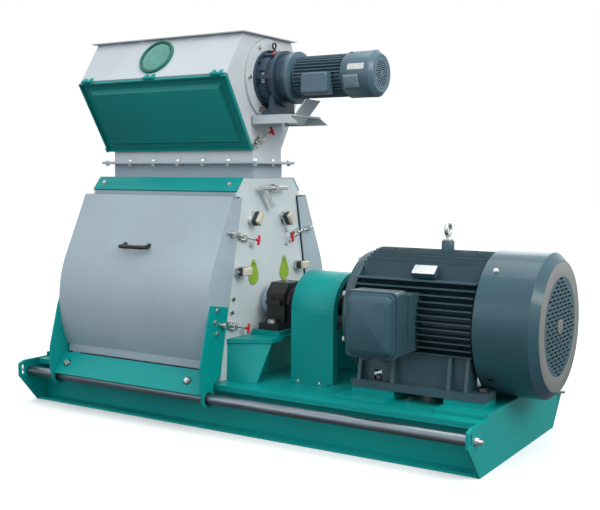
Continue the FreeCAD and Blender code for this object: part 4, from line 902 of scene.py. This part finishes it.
def make_bearing_trim():
    """Sleeves, seals and bearings, then the grease nipple and cap screws of each bearing block."""
    lift("bearings", "mill_side_sleeves", lambda i: bearing_part(i) == "sleeve", seal_blue, "machine")
    lift("bearings", "shaft_seals", lambda i: bearing_part(i) == "seal", black_rubber, "machine")
    lift("bearings", "bearing_rings", lambda i: bearing_part(i) in ("race", "motor"), rotor_steel, "machine")
    nipple = [(0, 0), (0, 0.008), (0.008, 0.008), (0.009, 0.004), (0.016, 0.004), (0.019, 0.0055),
              (0.023, 0.003), (0.023, 0)]
    for number, cap in enumerate(islands("bearing_housing_caps")[1]):
        top = bmesh.new()
        lathe(top, nipple, (cap["mid"].x, 0, cap["high"].z - 0.002), Z, steps=16)
        finished("grease_nipple_%d" % number, top, zinc, "machine", 0.0004)
        screws = bmesh.new()
        for y in (-0.121, 0.121):
            for shift in (-0.024, 0.024):
                hex_bolt(screws, (cap["mid"].x + shift, y, cap["low"].z + 0.026), Z, size=0.010)
        finished("cap_screws_%d" % number, screws, dark_steel, "machine", FINE_EDGE)


def is_small_eye(island):
    """The lifting eye on the gear unit: high up and tall."""
    return island["low"].z > 1.80 and island["size"].z > 0.05


def is_foot_bolt(island):
    """A bolt of the big motor's feet: low, beyond the guard and inside the rails."""
    return island["mid"].x > 0.55 and island["mid"].z < 0.40 and abs(island["mid"].y) < 0.40


def make_fasteners():
    """The small lifting eye is black and the motor's foot bolts are dark. All others are plated."""
    node = "frame_fasteners"
    lift(node, "small_lifting_eye", is_small_eye, black_iron, "machine", 0.0)
    lift(node, "motor_foot_bolts", is_foot_bolt, dark_steel, "machine", BOLT_EDGE)
    lift(node, "plated_fasteners", lambda i: not (is_small_eye(i) or is_foot_bolt(i)), zinc,
         "machine", BOLT_EDGE)


for word, side in (("front", -1), ("rear", 1)):
    make_door_trim(word, side)
make_clamps()
make_switches()
make_window()
make_terminal_box()
make_motor_plate()
make_cowl_ring()
make_gear_motor_trim()
make_reducer_trim()
make_bearing_trim()
make_fasteners()


# ------------------------------------------------------------------ stage, light and camera
def make_floor():
    """White paper that catches the machine's shadow and casts no light back on it."""
    mesh = bmesh.new()
    bmesh.ops.create_grid(mesh, x_segments=8, y_segments=8, size=30.0)
    data = bpy.data.meshes.new("floor")
    mesh.to_mesh(data)
    floor = bpy.data.objects.new("floor", data)
    bpy.context.collection.objects.link(floor)
    shader = Shader("floor_paper")
    shade = shader.spread(shader.noise(0.4, detail=3.0), NOISE_LOW, NOISE_HIGH)
    shader.colour(shader.mix(shade, tint((0.84, 0.84, 0.84)), tint((0.88, 0.88, 0.88))))
    shader.set(Roughness=0.9, Emission_Color=(1, 1, 1, 1), Emission_Strength=0.22)
    data.materials.append(shader.material)
    floor.visible_diffuse = False
    floor.visible_glossy = False


def make_world():
    """A soft gradient from dark below to bright above. The camera sees plain white instead."""
    world = bpy.data.worlds.new("studio")
    bpy.context.scene.world = world
    world.use_nodes = True
    tree = world.node_tree.nodes
    links = world.node_tree.links
    coord = tree.new("ShaderNodeTexCoord")
    split = tree.new("ShaderNodeSeparateXYZ")
    links.new(coord.outputs["Generated"], split.inputs["Vector"])
    height = tree.new("ShaderNodeMapRange")
    height.inputs["From Min"].default_value = -1.0
    links.new(split.outputs["Z"], height.inputs["Value"])
    ramp = tree.new("ShaderNodeValToRGB")
    links.new(height.outputs["Result"], ramp.inputs["Fac"])
    stops = ramp.color_ramp.elements
    stops[0].color = tint((0.07, 0.085, 0.09))
    stops[1].color = tint((0.93, 0.98, 1.0))
    between = {0.40: (0.20, 0.23, 0.24), 0.52: (0.60, 0.66, 0.70), 0.70: (0.86, 0.93, 0.98)}
    for place, colour in between.items():
        stops.new(place).color = tint(colour)
    links.new(ramp.outputs["Color"], tree["Background"].inputs["Color"])
    tree["Background"].inputs["Strength"].default_value = 1.15
    white = tree.new("ShaderNodeBackground")
    white.inputs["Color"].default_value = (1, 1, 1, 1)
    seen = tree.new("ShaderNodeMixShader")
    links.new(tree.new("ShaderNodeLightPath").outputs["Is Camera Ray"], seen.inputs["Fac"])
    links.new(tree["Background"].outputs["Background"], seen.inputs[1])
    links.new(white.outputs["Background"], seen.inputs[2])
    links.new(seen.outputs["Shader"], tree["World Output"].inputs["Surface"])


def area_light(name, place, target, size, power, colour):
    data = bpy.data.lights.new(name, "AREA")
    data.shape = "RECTANGLE"
    data.size, data.size_y = size
    data.energy = power
    data.color = colour
    lamp = bpy.data.objects.new(name, data)
    lamp.location = place
    lamp.rotation_euler = (Vector(target) - Vector(place)).to_track_quat("-Z", "Y").to_euler()
    bpy.context.collection.objects.link(lamp)


def make_camera():
    """The photograph's viewing angle, solved from the skid's straight edges."""
    yaw = math.radians(32.1056)
    pitch = math.radians(4.7094)
    roll = math.radians(0.3257)
    place = (2.6717, -4.1830, 1.2512)
    forward = Vector((-math.sin(yaw) * math.cos(pitch), math.cos(yaw) * math.cos(pitch), -math.sin(pitch)))
    level = Vector((math.cos(yaw), math.sin(yaw), 0))
    above = level.cross(forward)
    right = math.cos(roll) * level + math.sin(roll) * above
    up = right.cross(forward)
    data = bpy.data.cameras.new("camera")
    data.lens = 57.33
    data.sensor_width = 36.0
    camera = bpy.data.objects.new("camera", data)
    turn = Matrix((right, up, -forward)).transposed().to_4x4()
    camera.matrix_world = Matrix.Translation(place) @ turn
    bpy.context.collection.objects.link(camera)
    bpy.context.scene.camera = camera


make_floor()
make_world()
area_light("key", place=(5.4, -1.6, 4.2), target=(0, 0, 0.9), size=(3.0, 3.0), power=190,
           colour=(1.0, 0.97, 0.92))
area_light("front", place=(-2.6, -5.5, 3.2), target=(-0.4, 0, 0.9), size=(4.0, 3.0), power=30,
           colour=(0.90, 0.95, 1.0))
area_light("top", place=(0.3, 0.5, 5.5), target=(0, 0, 0.5), size=(4.0, 3.0), power=70,
           colour=(1.0, 1.0, 1.0))
area_light("back", place=(-1.0, 5.5, 3.0), target=(0, 0, 0.8), size=(4.0, 3.0), power=60,
           colour=(1.0, 1.0, 1.0))
bpy.context.scene.view_settings.view_transform = "Standard"
make_camera()
